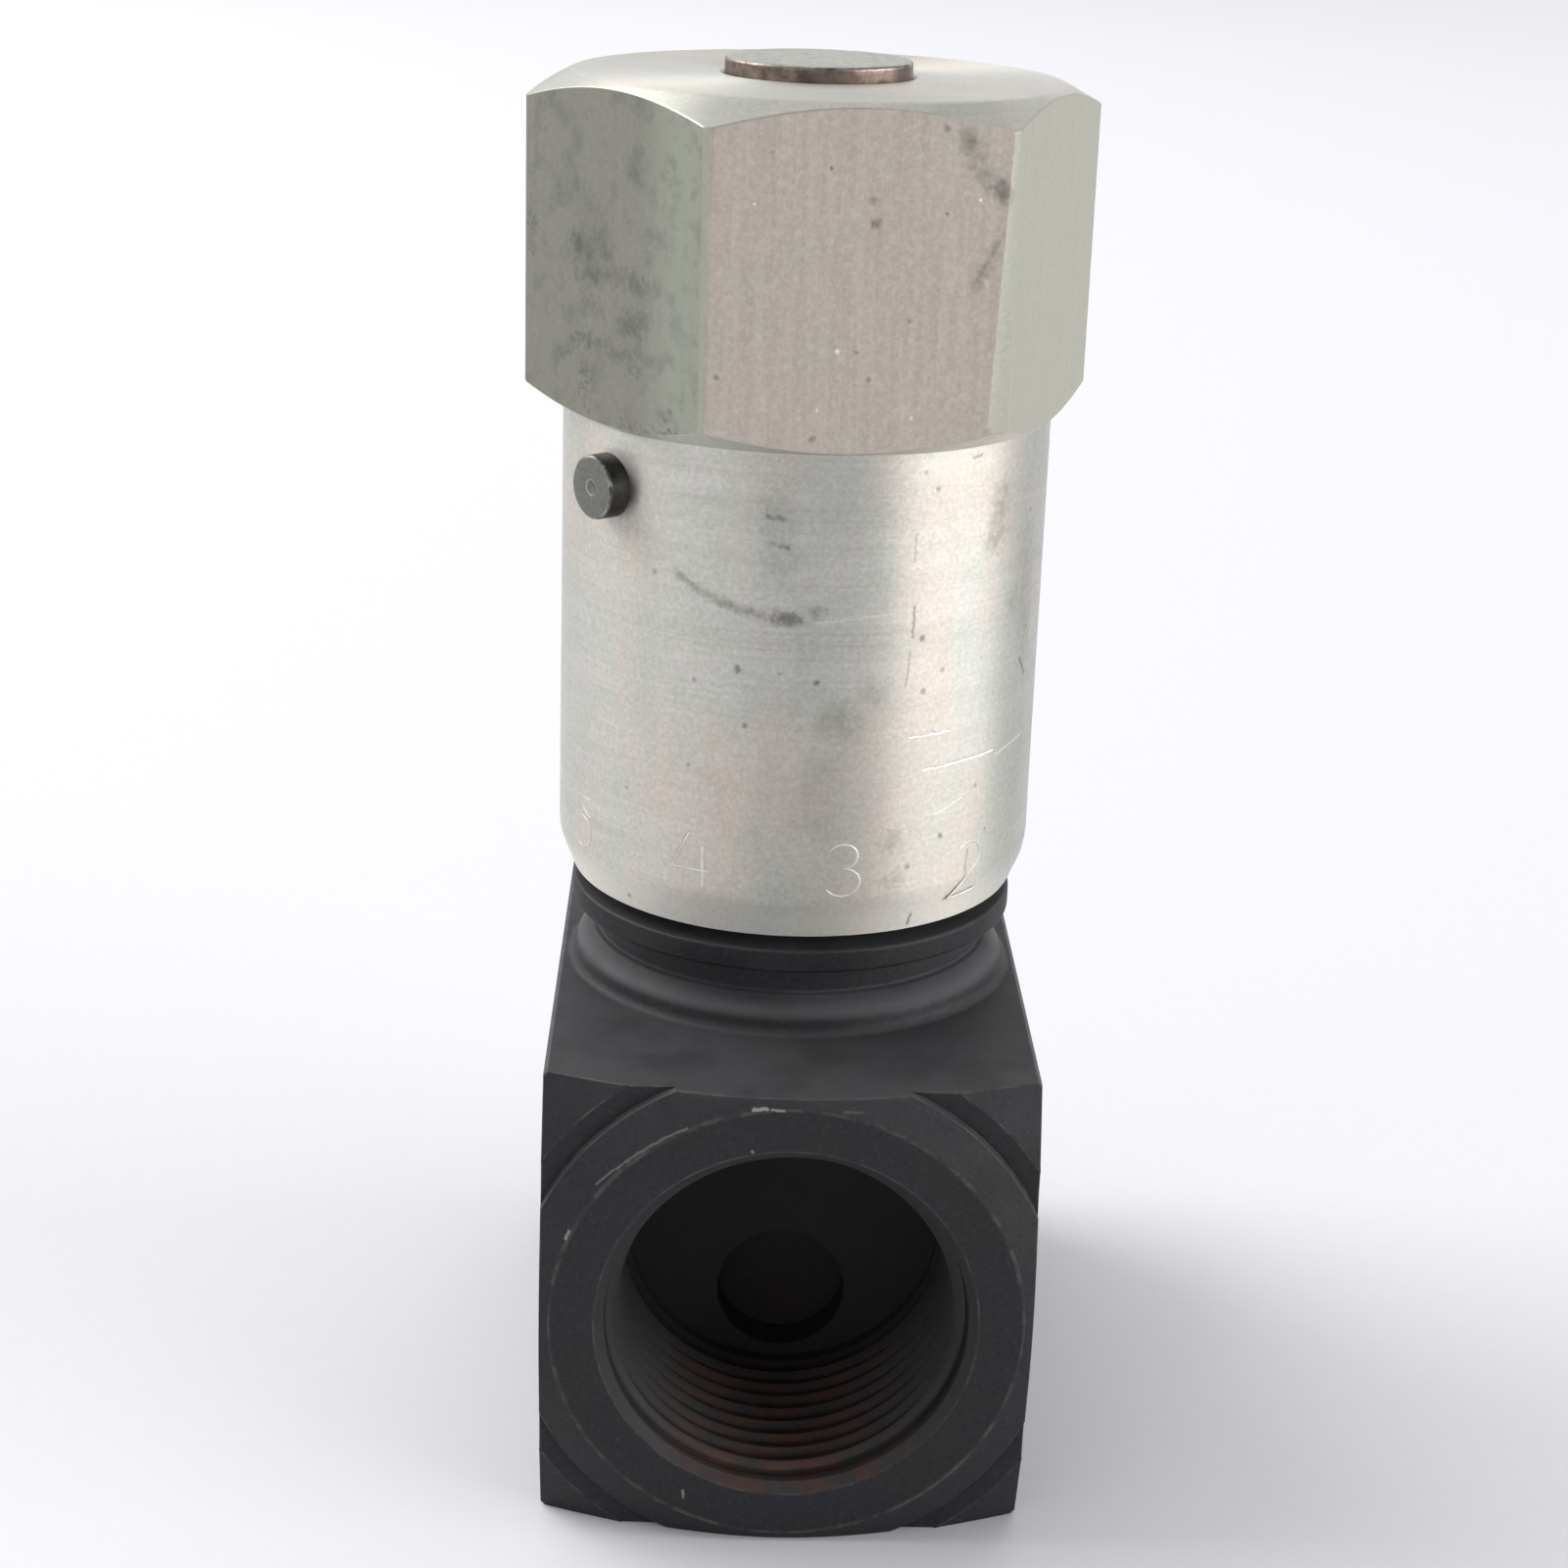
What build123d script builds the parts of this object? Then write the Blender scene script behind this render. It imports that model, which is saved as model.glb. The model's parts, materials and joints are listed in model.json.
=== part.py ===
from build123d import *
import math
import os

# In-line flow control valve with a rotary knob, in millimetres.
# The square steel body stands on its flat underside. The two threaded ports lie on one axis
# along Y, and the knob turns about Z, above the middle of the body. The origin is the centre
# of the underside, straight below the knob.

# Square bar body and its turned ends
BODY_WIDTH = 45.0
BODY_LENGTH = 71.0
BODY_EDGE_BREAK = 0.5
BOSS_FACE_R = 21.6
BOSS_RIM_R = 24.8
BOSS_BEVEL_H = 1.8
BOSS_STEP_H = 0.8
CORNER_FLOOR_R = 26.9
CORNER_CONE_DEG = 30.0

# Threaded ports: G 1 pipe thread
PORT_MAJOR_D = 33.25
PORT_THREAD_DEPTH = 20.0
PORT_COUNTERSINK_DEPTH = 0.875
PORT_TAP_DRILL_D = 30.3
PORT_DRILL_DEPTH = 21.5
PASSAGE_D = 12.5
PASSAGE_OFFSET = 7.7

# Turned neck above the body
NECK_FOOT_R = 21.1
NECK_FOOT_FILLET = 0.5
NECK_FOOT_H = 1.4
NECK_CONE_H = 2.0
NECK_CONE_TOP_R = 19.4
NECK_GROOVE_R = 18.8
NECK_GROOVE_H = 2.9
NECK_R = 17.9
NECK_HEIGHT = 27.0
NECK_CHAMFER = 0.8

# Stepped bore down the middle of the body
BORE_R = 10.0
BONNET_BORE_R = 12.5

# Named clearances
FIT_CLEARANCE = 0.02
RUNNING_CLEARANCE = 0.05
SKIRT_CLEARANCE = 0.08
END_GAP = 0.3

# Spring, poppet and cage stack in the bore
SPRING_PLATE_T = 1.4
SPRING_PLATE_HOLE_R = 2.5
LOWER_CAGE_H = 13.5
CAGE_BORE_R = 7.6
FEED_WINDOW_COUNT = 4
FEED_WINDOW_D = 4.0
FEED_WINDOW_RISE = 4.2
CHECK_WINDOW_COUNT = 8
CHECK_WINDOW_D = 2.6
CHECK_WINDOW_LAP = 0.2
CAGE_RELIEF_R = 8.9
CAGE_LAND_H = 2.0
SEAT_RING_T = 3.5
SEAT_HOLE_R = 6.0
SEAT_GROOVE_R = 8.4
SEAT_ORING_T = 1.5
SEAT_BACKUP_T = 0.6
UPPER_CAGE_H = 14.0
UPPER_WINDOW_COUNT = 4
UPPER_WINDOW_D = 7.6
STACK_WASHER_T = 0.6
STACK_WASHER_BORE_R = 8.1

# Check poppet and its spring
POPPET_SKIRT_H = 5.5
POPPET_NOSE_H = 2.6
POPPET_CUP_R = 5.3
POPPET_CUP_DEPTH = 4.0
POPPET_SEAT_GAP = 0.2
ORIFICE_R = 3.2
CHECK_TRAVEL = 3.0
SPRING_COIL_R = 4.4
SPRING_WIRE_R = 0.45
SPRING_TURNS = 5.0

# Metering needle
NEEDLE_GUIDE_R = 8.0
NEEDLE_FLOOR_T = 3.0
NEEDLE_STEM_R = 4.0
NEEDLE_SEAT_GAP = 0.1
NEEDLE_TAPER_DEG = 23.0
NEEDLE_TIP_R = 1.0
KEY_PIN_R = 1.0
KEY_PIN_LENGTH = 5.2
KEY_PIN_PROUD = 1.2
KEYWAY_SIDE_GAP = 0.05

# Bonnet screwed into the neck
BONNET_RECESS_DEPTH = 16.4
STEM_BORE_H = 7.0
BONNET_HEX_AF = 30.0
BONNET_HEX_H = 5.0
BONNET_SEAL_RISE = 3.6
BONNET_SEAL_T = 2.4
BONNET_BACKUP_T = 1.0
BONNET_SEAL_GROOVE_R = 10.7
STEM_SEAL_RISE = 1.8
STEM_SEAL_T = 2.4
STEM_BACKUP_T = 1.0
STEM_SEAL_GROOVE_R = 7.0

# Spindle
SPINDLE_JOURNAL_R = 5.0
SPINDLE_THREAD_R = 7.0
SPINDLE_SHANK_R = 8.5
SPINDLE_PROUD = 1.4
SPINDLE_TOP_CHAMFER = 0.3
T_HEAD_R = 3.8
T_HEAD_T = 2.5
T_NECK_R = 2.4
T_SLOT_GAP = 0.1

# Knob travel: a 1.5 mm lead screw opened four and a half turns
SCREW_LEAD = 1.5
KNOB_TURNS = 4.5

# Index ring and friction ring on the neck
INDEX_RING_R = 21.4
INDEX_RING_T = 2.2
INDEX_RING_CHAMFER = 0.3
FRICTION_RING_DROP = 4.5
FRICTION_RING_T = 2.4
FRICTION_GROOVE_R = 16.1

# Knob: hexagon head over a long round skirt
HEX_AF = 46.0
HEX_TURN_DEG = 8.26
HEX_HEIGHT = 29.9
HEX_FLAT_R = 22.2
HEX_CHAMFER_DEG = 28.0
HEX_EDGE_FLAT = 0.9
SKIRT_R = 22.75
KNOB_HEIGHT = 75.3
KNOB_RIM_GAP = 1.4
RIM_BEVEL_H = 3.4
RIM_BEVEL_DEPTH = 1.4
KNOB_CEILING_GAP = 1.0
KNOB_WEB_T = 4.0

# Lock screw through the skirt, under one face of the hexagon
LOCK_SCREW_R = 2.9
LOCK_SCREW_DROP = 5.2
LOCK_SCREW_PROUD = 2.0
LOCK_SCREW_SEAT_R = 6.4
LOCK_SCREW_DIMPLE_R = 1.2
LOCK_SCREW_DIMPLE_DEPTH = 0.5

# Heights worked out from the sizes above
PORT_AXIS_Z = BODY_WIDTH / 2
KNOB_LIFT = SCREW_LEAD * KNOB_TURNS
SEAT_LOW_Z = PORT_AXIS_Z - SEAT_RING_T / 2
BORE_FLOOR_Z = SEAT_LOW_Z - LOWER_CAGE_H
PLATE_TOP_Z = BORE_FLOOR_Z + SPRING_PLATE_T
SEAT_HIGH_Z = SEAT_LOW_Z + SEAT_RING_T
CAGE_TOP_Z = SEAT_HIGH_Z + UPPER_CAGE_H
BONNET_LOW_Z = CAGE_TOP_Z + STACK_WASHER_T
RECESS_CEILING_Z = BONNET_LOW_Z + BONNET_RECESS_DEPTH
NUT_LOW_Z = RECESS_CEILING_Z + STEM_BORE_H
NECK_TOP_Z = BODY_WIDTH + NECK_HEIGHT
BONNET_TOP_Z = NECK_TOP_Z + BONNET_HEX_H
INDEX_RING_LOW_Z = BODY_WIDTH + NECK_FOOT_H + NECK_CONE_H + NECK_GROOVE_H
KNOB_RIM_Z = INDEX_RING_LOW_Z + INDEX_RING_T + KNOB_RIM_GAP
KNOB_TOP_Z = KNOB_RIM_Z + KNOB_HEIGHT
KNOB_CEILING_Z = BONNET_TOP_Z + KNOB_CEILING_GAP
SHANK_LOW_Z = KNOB_CEILING_Z + KNOB_WEB_T
HEX_LOW_Z = KNOB_TOP_Z - HEX_HEIGHT
LOCK_SCREW_Z = HEX_LOW_Z - LOCK_SCREW_DROP
NEEDLE_TOP_Z = RECESS_CEILING_Z - KNOB_LIFT - END_GAP
NEEDLE_LOW_Z = BONNET_LOW_Z + END_GAP
T_HEAD_LOW_Z = NEEDLE_LOW_Z + NEEDLE_FLOOR_T + T_SLOT_GAP
T_HEAD_HIGH_Z = T_HEAD_LOW_Z + T_HEAD_T
JOURNAL_LOW_Z = NEEDLE_TOP_Z + END_GAP
POPPET_NOSE_R = CAGE_BORE_R - RUNNING_CLEARANCE - POPPET_NOSE_H
POPPET_SHOULDER_Z = SEAT_LOW_Z - (CAGE_BORE_R - RUNNING_CLEARANCE - SEAT_HOLE_R) - POPPET_SEAT_GAP
POPPET_TOP_Z = POPPET_SHOULDER_Z + POPPET_NOSE_H
POPPET_LOW_Z = POPPET_SHOULDER_Z - POPPET_SKIRT_H
FRICTION_RING_Z = NECK_TOP_Z - FRICTION_RING_DROP - FRICTION_RING_T
HALF_LENGTH = BODY_LENGTH / 2
KNOB_BORE_R = NECK_R + SKIRT_CLEARANCE


def turned(outline):
    """Solid of revolution about Z from a closed outline of (radius, height) points."""
    profile = make_face(Polyline(*[(r, 0, z) for r, z in outline], close=True))
    return revolve(profile, Axis.Z, 360)


def tube(inner_r, outer_r, low_z, high_z):
    """Plain ring or tube about Z."""
    return turned([(inner_r, low_z), (outer_r, low_z), (outer_r, high_z), (inner_r, high_z)])


def rod(radius, low_z, high_z):
    """Plain cylinder about Z."""
    return Pos(0, 0, (low_z + high_z) / 2) * Cylinder(radius, high_z - low_z)


def along_y(radius, start_y, end_y, height):
    """Plain cylinder along Y at one height."""
    middle = Pos(0, (start_y + end_y) / 2, height)
    return middle * Rot(90, 0, 0) * Cylinder(radius, abs(end_y - start_y))


def squeezed_ring(inner_r, outer_r, low_z, thickness):
    """Seal of rubber as it lies squeezed in its groove, with rounded section corners."""
    width = outer_r - inner_r
    section = RectangleRounded(width, thickness, 0.42 * min(width, thickness))
    placed = Plane.XZ * Pos((inner_r + outer_r) / 2, low_z + thickness / 2) * section
    return revolve(placed, Axis.Z, 360)


def radial_holes(count, diameter, height, reach):
    """Round windows through a cage wall, evenly spaced and clear of the port axis."""
    hole = Pos(reach / 2, 0, height) * Rot(0, 90, 0) * Cylinder(diameter / 2, reach)
    step = 360 / count
    return [Rot(0, 0, step * (i + 0.5)) * hole for i in range(count)]


def body_end_envelope():
    """Turned form of both ends of the square bar, as one solid about the port axis."""
    outside_r = BODY_WIDTH
    bevel_y = HALF_LENGTH - BOSS_BEVEL_H
    floor_y = bevel_y - BOSS_STEP_H
    cone_drop = (outside_r - CORNER_FLOOR_R) * math.tan(math.radians(CORNER_CONE_DEG))
    front = [
        (BOSS_FACE_R, HALF_LENGTH),
        (BOSS_RIM_R, bevel_y),
        (BOSS_RIM_R, floor_y),
        (CORNER_FLOOR_R, floor_y),
        (outside_r, floor_y - cone_drop),
    ]
    outline = [(0, HALF_LENGTH)] + front
    outline += [(r, -y) for r, y in reversed(front)] + [(0, -HALF_LENGTH)]
    return Pos(0, 0, PORT_AXIS_Z) * Rot(90, 0, 0) * turned(outline)


def port_cutter(side):
    """Threaded port bore with its countersink and tap drill; side is -1 front or +1 rear."""
    face_y = side * HALF_LENGTH
    thread = along_y(PORT_MAJOR_D / 2, face_y, face_y - side * PORT_THREAD_DEPTH, PORT_AXIS_Z)
    drill = along_y(PORT_TAP_DRILL_D / 2, face_y, face_y - side * PORT_DRILL_DEPTH, PORT_AXIS_Z)
    sink_h = PORT_COUNTERSINK_DEPTH
    sink = Cone(PORT_MAJOR_D / 2, PORT_MAJOR_D / 2 + sink_h, sink_h)
    sink = Pos(0, face_y - side * sink_h / 2, PORT_AXIS_Z) * Rot(-90 * side, 0, 0) * sink
    return thread + drill + sink


def valve_body():
    """Square bar body with turned ends, threaded ports, offset passages and a turned neck."""
    bar = Pos(0, 0, BODY_WIDTH / 2) * Box(BODY_WIDTH, BODY_LENGTH, BODY_WIDTH)
    bar = chamfer(bar.edges().filter_by(Axis.Y), BODY_EDGE_BREAK)
    bar = bar & body_end_envelope()
    foot_top = BODY_WIDTH + NECK_FOOT_H
    cone_top = foot_top + NECK_CONE_H
    neck = turned([
        (0, PORT_AXIS_Z),
        (NECK_FOOT_R, PORT_AXIS_Z),
        (NECK_FOOT_R, foot_top),
        (NECK_CONE_TOP_R, cone_top),
        (NECK_GROOVE_R, cone_top),
        (NECK_GROOVE_R, INDEX_RING_LOW_Z),
        (NECK_R, INDEX_RING_LOW_Z),
        (NECK_R, FRICTION_RING_Z),
        (FRICTION_GROOVE_R, FRICTION_RING_Z),
        (FRICTION_GROOVE_R, FRICTION_RING_Z + FRICTION_RING_T),
        (NECK_R, FRICTION_RING_Z + FRICTION_RING_T),
        (NECK_R, NECK_TOP_Z - NECK_CHAMFER),
        (NECK_R - NECK_CHAMFER, NECK_TOP_Z),
        (0, NECK_TOP_Z),
    ])
    body = bar + neck
    foot_edges = [
        edge for edge in body.edges().filter_by(GeomType.CIRCLE)
        if abs(edge.radius - NECK_FOOT_R) < 0.01 and abs(edge.center().Z - BODY_WIDTH) < 0.01
    ]
    body = fillet(foot_edges, NECK_FOOT_FILLET)
    body -= rod(BORE_R, BORE_FLOOR_Z, NECK_TOP_Z)
    body -= rod(BONNET_BORE_R, CAGE_TOP_Z, NECK_TOP_Z)
    for side in (-1, 1):
        body -= port_cutter(side)
    front_z = PORT_AXIS_Z - PASSAGE_OFFSET
    rear_z = PORT_AXIS_Z + PASSAGE_OFFSET
    body -= along_y(PASSAGE_D / 2, -(HALF_LENGTH - PORT_THREAD_DEPTH), 0, front_z)
    body -= along_y(PASSAGE_D / 2, 0, HALF_LENGTH - PORT_THREAD_DEPTH, rear_z)
    return body


def spring_plate():
    """Washer on the floor of the bore that the check spring stands on."""
    return tube(SPRING_PLATE_HOLE_R, CAGE_BORE_R - 2 * FIT_CLEARANCE, BORE_FLOOR_Z, PLATE_TOP_Z)


def check_spring():
    """Open coil spring between the plate and the inside of the poppet."""
    low = PLATE_TOP_Z + SPRING_WIRE_R
    high = POPPET_LOW_Z + POPPET_CUP_DEPTH - SPRING_WIRE_R
    coil = Pos(0, 0, low) * Helix((high - low) / SPRING_TURNS, high - low, SPRING_COIL_R)
    section = Plane(origin=coil @ 0, z_dir=coil % 0) * Circle(SPRING_WIRE_R)
    return sweep(section, path=coil)


def cage(low_z, high_z, window_rows):
    """Sleeve with a relief turned round its rows of windows: (count, diameter, height) each."""
    outer = BORE_R - FIT_CLEARANCE
    body = turned([
        (CAGE_BORE_R, low_z),
        (outer, low_z),
        (outer, low_z + CAGE_LAND_H),
        (CAGE_RELIEF_R, low_z + CAGE_LAND_H),
        (CAGE_RELIEF_R, high_z - CAGE_LAND_H),
        (outer, high_z - CAGE_LAND_H),
        (outer, high_z),
        (CAGE_BORE_R, high_z),
    ])
    for count, window_d, window_z in window_rows:
        for hole in radial_holes(count, window_d, window_z, outer + 1):
            body -= hole
    return body


def lower_cage():
    """Lower sleeve: low windows feed the orifice, high ones open as the poppet drops."""
    check_z = POPPET_SHOULDER_Z - CHECK_TRAVEL / 2 - CHECK_WINDOW_LAP
    feed_row = (FEED_WINDOW_COUNT, FEED_WINDOW_D, BORE_FLOOR_Z + FEED_WINDOW_RISE)
    check_row = (CHECK_WINDOW_COUNT, CHECK_WINDOW_D, check_z)
    return cage(BORE_FLOOR_Z, SEAT_LOW_Z, [feed_row, check_row])


def upper_cage():
    """Upper sleeve, round the needle's stem, level with the rear passage."""
    row = (UPPER_WINDOW_COUNT, UPPER_WINDOW_D, PORT_AXIS_Z + PASSAGE_OFFSET)
    return cage(SEAT_HIGH_Z, CAGE_TOP_Z, [row])


def seat_groove_z():
    """Bottom of the seal groove round the seat ring."""
    return SEAT_LOW_Z + (SEAT_RING_T - SEAT_ORING_T - SEAT_BACKUP_T) / 2


def seat_ring():
    """Hardened ring that divides the two chambers, with a seal groove outside."""
    outer = BORE_R - FIT_CLEARANCE
    groove_low = seat_groove_z()
    groove_high = groove_low + SEAT_ORING_T + SEAT_BACKUP_T
    return turned([
        (SEAT_HOLE_R, SEAT_LOW_Z),
        (outer, SEAT_LOW_Z),
        (outer, groove_low),
        (SEAT_GROOVE_R, groove_low),
        (SEAT_GROOVE_R, groove_high),
        (outer, groove_high),
        (outer, SEAT_HIGH_Z),
        (SEAT_HOLE_R, SEAT_HIGH_Z),
    ])


def seat_ring_oring():
    """Seal between the seat ring and the bore."""
    return squeezed_ring(SEAT_GROOVE_R, BORE_R, seat_groove_z(), SEAT_ORING_T)


def seat_ring_backup():
    """Back-up ring above the seat ring's seal."""
    low = seat_groove_z() + SEAT_ORING_T
    return tube(SEAT_GROOVE_R, BORE_R - FIT_CLEARANCE, low, low + SEAT_BACKUP_T)


def stack_washer():
    """Soft washer that takes up the length between the cage stack and the bonnet."""
    return tube(STACK_WASHER_BORE_R, BORE_R - FIT_CLEARANCE, CAGE_TOP_Z, BONNET_LOW_Z)


def check_poppet():
    """Spring-loaded cup with a conical nose; its middle hole is the metering orifice."""
    skirt_r = CAGE_BORE_R - RUNNING_CLEARANCE
    return turned([
        (POPPET_CUP_R, POPPET_LOW_Z),
        (skirt_r, POPPET_LOW_Z),
        (skirt_r, POPPET_SHOULDER_Z),
        (POPPET_NOSE_R, POPPET_TOP_Z),
        (ORIFICE_R, POPPET_TOP_Z),
        (ORIFICE_R, POPPET_LOW_Z + POPPET_CUP_DEPTH),
        (POPPET_CUP_R, POPPET_LOW_Z + POPPET_CUP_DEPTH),
    ])


def key_pin_z():
    """Height of the anti-rotation pin, in the needle's solid floor."""
    return NEEDLE_LOW_Z + NEEDLE_FLOOR_T / 2


def metering_needle():
    """Needle that closes the orifice, hung on the spindle's T head and kept from turning."""
    taper = math.tan(math.radians(NEEDLE_TAPER_DEG))
    cone_low_r = NEEDLE_TIP_R
    closed_r = ORIFICE_R - NEEDLE_SEAT_GAP
    cone_top_z = POPPET_TOP_Z + (NEEDLE_STEM_R - closed_r) / taper
    tip_z = POPPET_TOP_Z - (closed_r - cone_low_r) / taper
    guide_r = NEEDLE_GUIDE_R - RUNNING_CLEARANCE
    body = turned([
        (0, tip_z),
        (cone_low_r, tip_z),
        (NEEDLE_STEM_R, cone_top_z),
        (NEEDLE_STEM_R, NEEDLE_LOW_Z),
        (guide_r, NEEDLE_LOW_Z),
        (guide_r, NEEDLE_TOP_Z),
        (0, NEEDLE_TOP_Z),
    ])
    head_r = T_HEAD_R + T_SLOT_GAP
    neck_r = T_NECK_R + T_SLOT_GAP
    head_low = T_HEAD_LOW_Z - T_SLOT_GAP
    head_high = T_HEAD_HIGH_Z + T_SLOT_GAP
    for radius, low, high in ((head_r, head_low, head_high), (neck_r, head_low, NEEDLE_TOP_Z)):
        body -= rod(radius, low, high)
        slot = Box(guide_r, 2 * radius, high - low)
        body -= Pos(guide_r / 2, 0, (low + high) / 2) * slot
    body -= needle_key_pin()
    return body


def needle_key_pin():
    """Cross pin in the needle that slides in the bonnet's keyway."""
    outer = NEEDLE_GUIDE_R + KEY_PIN_PROUD
    pin = Rot(0, 90, 0) * Cylinder(KEY_PIN_R, KEY_PIN_LENGTH)
    return Pos(KEY_PIN_LENGTH / 2 - outer, 0, key_pin_z()) * pin


def spindle():
    """Screw spindle: T head, sealed journal, threaded length and the shank in the knob."""
    return turned([
        (0, T_HEAD_LOW_Z),
        (T_HEAD_R, T_HEAD_LOW_Z),
        (T_HEAD_R, T_HEAD_HIGH_Z),
        (T_NECK_R, T_HEAD_HIGH_Z),
        (T_NECK_R, JOURNAL_LOW_Z),
        (SPINDLE_JOURNAL_R, JOURNAL_LOW_Z),
        (SPINDLE_JOURNAL_R, NUT_LOW_Z + END_GAP),
        (SPINDLE_THREAD_R, NUT_LOW_Z + END_GAP),
        (SPINDLE_THREAD_R, SHANK_LOW_Z),
        (SPINDLE_SHANK_R, SHANK_LOW_Z),
        (SPINDLE_SHANK_R, KNOB_TOP_Z + SPINDLE_PROUD - SPINDLE_TOP_CHAMFER),
        (SPINDLE_SHANK_R - SPINDLE_TOP_CHAMFER, KNOB_TOP_Z + SPINDLE_PROUD),
        (0, KNOB_TOP_Z + SPINDLE_PROUD),
    ]) - lock_screw_hole()


def bonnet_seal_z():
    """Bottom of the seal groove round the bonnet."""
    return BONNET_LOW_Z + BONNET_SEAL_RISE


def stem_seal_z():
    """Bottom of the seal groove inside the bonnet."""
    return RECESS_CEILING_Z + STEM_SEAL_RISE


def bonnet():
    """Screwed insert that clamps the cage stack, guides the needle and carries the lead screw."""
    outer = BONNET_BORE_R - FIT_CLEARANCE
    seal_low = bonnet_seal_z()
    seal_high = seal_low + BONNET_SEAL_T + BONNET_BACKUP_T
    stem_low = stem_seal_z()
    stem_high = stem_low + STEM_SEAL_T + STEM_BACKUP_T
    journal_bore = SPINDLE_JOURNAL_R + RUNNING_CLEARANCE
    sleeve = turned([
        (NEEDLE_GUIDE_R, BONNET_LOW_Z),
        (outer, BONNET_LOW_Z),
        (outer, seal_low),
        (BONNET_SEAL_GROOVE_R, seal_low),
        (BONNET_SEAL_GROOVE_R, seal_high),
        (outer, seal_high),
        (outer, BONNET_TOP_Z),
        (journal_bore, BONNET_TOP_Z),
        (journal_bore, stem_high),
        (STEM_SEAL_GROOVE_R, stem_high),
        (STEM_SEAL_GROOVE_R, stem_low),
        (journal_bore, stem_low),
        (journal_bore, RECESS_CEILING_Z),
        (NEEDLE_GUIDE_R, RECESS_CEILING_Z),
    ])
    flange = RegularPolygon(BONNET_HEX_AF / 2, 6, major_radius=False)
    flange = Pos(0, 0, NECK_TOP_Z) * extrude(flange, BONNET_HEX_H)
    flange -= rod(SPINDLE_THREAD_R, NECK_TOP_Z, BONNET_TOP_Z)
    body = sleeve + flange
    body -= rod(SPINDLE_THREAD_R + RUNNING_CLEARANCE, NUT_LOW_Z, BONNET_TOP_Z)
    keyway_r = NEEDLE_GUIDE_R + KEY_PIN_PROUD + KEYWAY_SIDE_GAP
    keyway_top = key_pin_z() + KEY_PIN_R + KNOB_LIFT + END_GAP
    keyway = Box(keyway_r, 2 * (KEY_PIN_R + KEYWAY_SIDE_GAP), keyway_top - BONNET_LOW_Z)
    body -= Pos(-keyway_r / 2, 0, (keyway_top + BONNET_LOW_Z) / 2) * keyway
    return body


def bonnet_oring():
    """Seal between the bonnet and the body."""
    return squeezed_ring(BONNET_SEAL_GROOVE_R, BONNET_BORE_R, bonnet_seal_z(), BONNET_SEAL_T)


def bonnet_backup_ring():
    """Back-up ring above the bonnet's seal."""
    low = bonnet_seal_z() + BONNET_SEAL_T
    outer = BONNET_BORE_R - FIT_CLEARANCE
    return tube(BONNET_SEAL_GROOVE_R, outer, low, low + BONNET_BACKUP_T)


def stem_oring():
    """Seal between the bonnet and the spindle's journal."""
    inner = SPINDLE_JOURNAL_R + FIT_CLEARANCE
    return squeezed_ring(inner, STEM_SEAL_GROOVE_R, stem_seal_z(), STEM_SEAL_T)


def stem_backup_ring():
    """Back-up ring above the spindle's seal."""
    low = stem_seal_z() + STEM_SEAL_T
    inner = SPINDLE_JOURNAL_R + RUNNING_CLEARANCE
    return tube(inner, STEM_SEAL_GROOVE_R, low, low + STEM_BACKUP_T)


def index_ring():
    """Turned ring on the neck's shoulder, just under the knob's rim."""
    inner = NECK_R + FIT_CLEARANCE
    high = INDEX_RING_LOW_Z + INDEX_RING_T
    edge = INDEX_RING_R - INDEX_RING_CHAMFER
    return turned([
        (inner, INDEX_RING_LOW_Z),
        (edge, INDEX_RING_LOW_Z),
        (INDEX_RING_R, INDEX_RING_LOW_Z + INDEX_RING_CHAMFER),
        (INDEX_RING_R, high - INDEX_RING_CHAMFER),
        (edge, high),
        (inner, high),
    ])


def friction_ring():
    """Rubber ring in the neck's groove that holds the knob where it is set."""
    outer = NECK_R + RUNNING_CLEARANCE
    return squeezed_ring(FRICTION_GROOVE_R, outer, FRICTION_RING_Z, FRICTION_RING_T)


def lock_screw_place():
    """Place and direction of the lock screw's axis, outward under one face of the hexagon."""
    return Rot(0, 0, HEX_TURN_DEG - 150) * Pos(0, 0, LOCK_SCREW_Z) * Rot(0, 90, 0)


def lock_screw_hole():
    """Hole for the lock screw, from its seat in the spindle out through the skirt."""
    length = SKIRT_R + 1 - LOCK_SCREW_SEAT_R
    return lock_screw_place() * Pos(0, 0, LOCK_SCREW_SEAT_R + length / 2) * Cylinder(
        LOCK_SCREW_R, length)


def lock_screw():
    """Plain-ended steel screw that ties the knob to the spindle, with a centre dimple."""
    outer = SKIRT_R + LOCK_SCREW_PROUD
    edge = 0.3
    outline = [
        (0, LOCK_SCREW_SEAT_R),
        (LOCK_SCREW_R, LOCK_SCREW_SEAT_R),
        (LOCK_SCREW_R, outer - edge),
        (LOCK_SCREW_R - edge, outer),
        (LOCK_SCREW_DIMPLE_R, outer),
        (0, outer - LOCK_SCREW_DIMPLE_DEPTH),
    ]
    return lock_screw_place() * turned(outline)


def hexagon_head():
    """Hexagon with narrow flats along its upright edges and turned chamfers at both ends."""
    blank = extrude(RegularPolygon(HEX_AF / 2, 6, major_radius=False), HEX_HEIGHT)
    blank = chamfer(blank.edges().filter_by(Axis.Z), HEX_EDGE_FLAT / 2)
    slope = math.tan(math.radians(HEX_CHAMFER_DEG))
    outside_r = HEX_AF
    top = HEX_HEIGHT
    turning = turned([
        (0, 0),
        (SKIRT_R, 0),
        (outside_r, (outside_r - SKIRT_R) * slope),
        (outside_r, top - (outside_r - HEX_FLAT_R) * slope),
        (HEX_FLAT_R, top),
        (0, top),
    ])
    return Pos(0, 0, HEX_LOW_Z) * Rot(0, 0, HEX_TURN_DEG) * (blank & turning)


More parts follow.
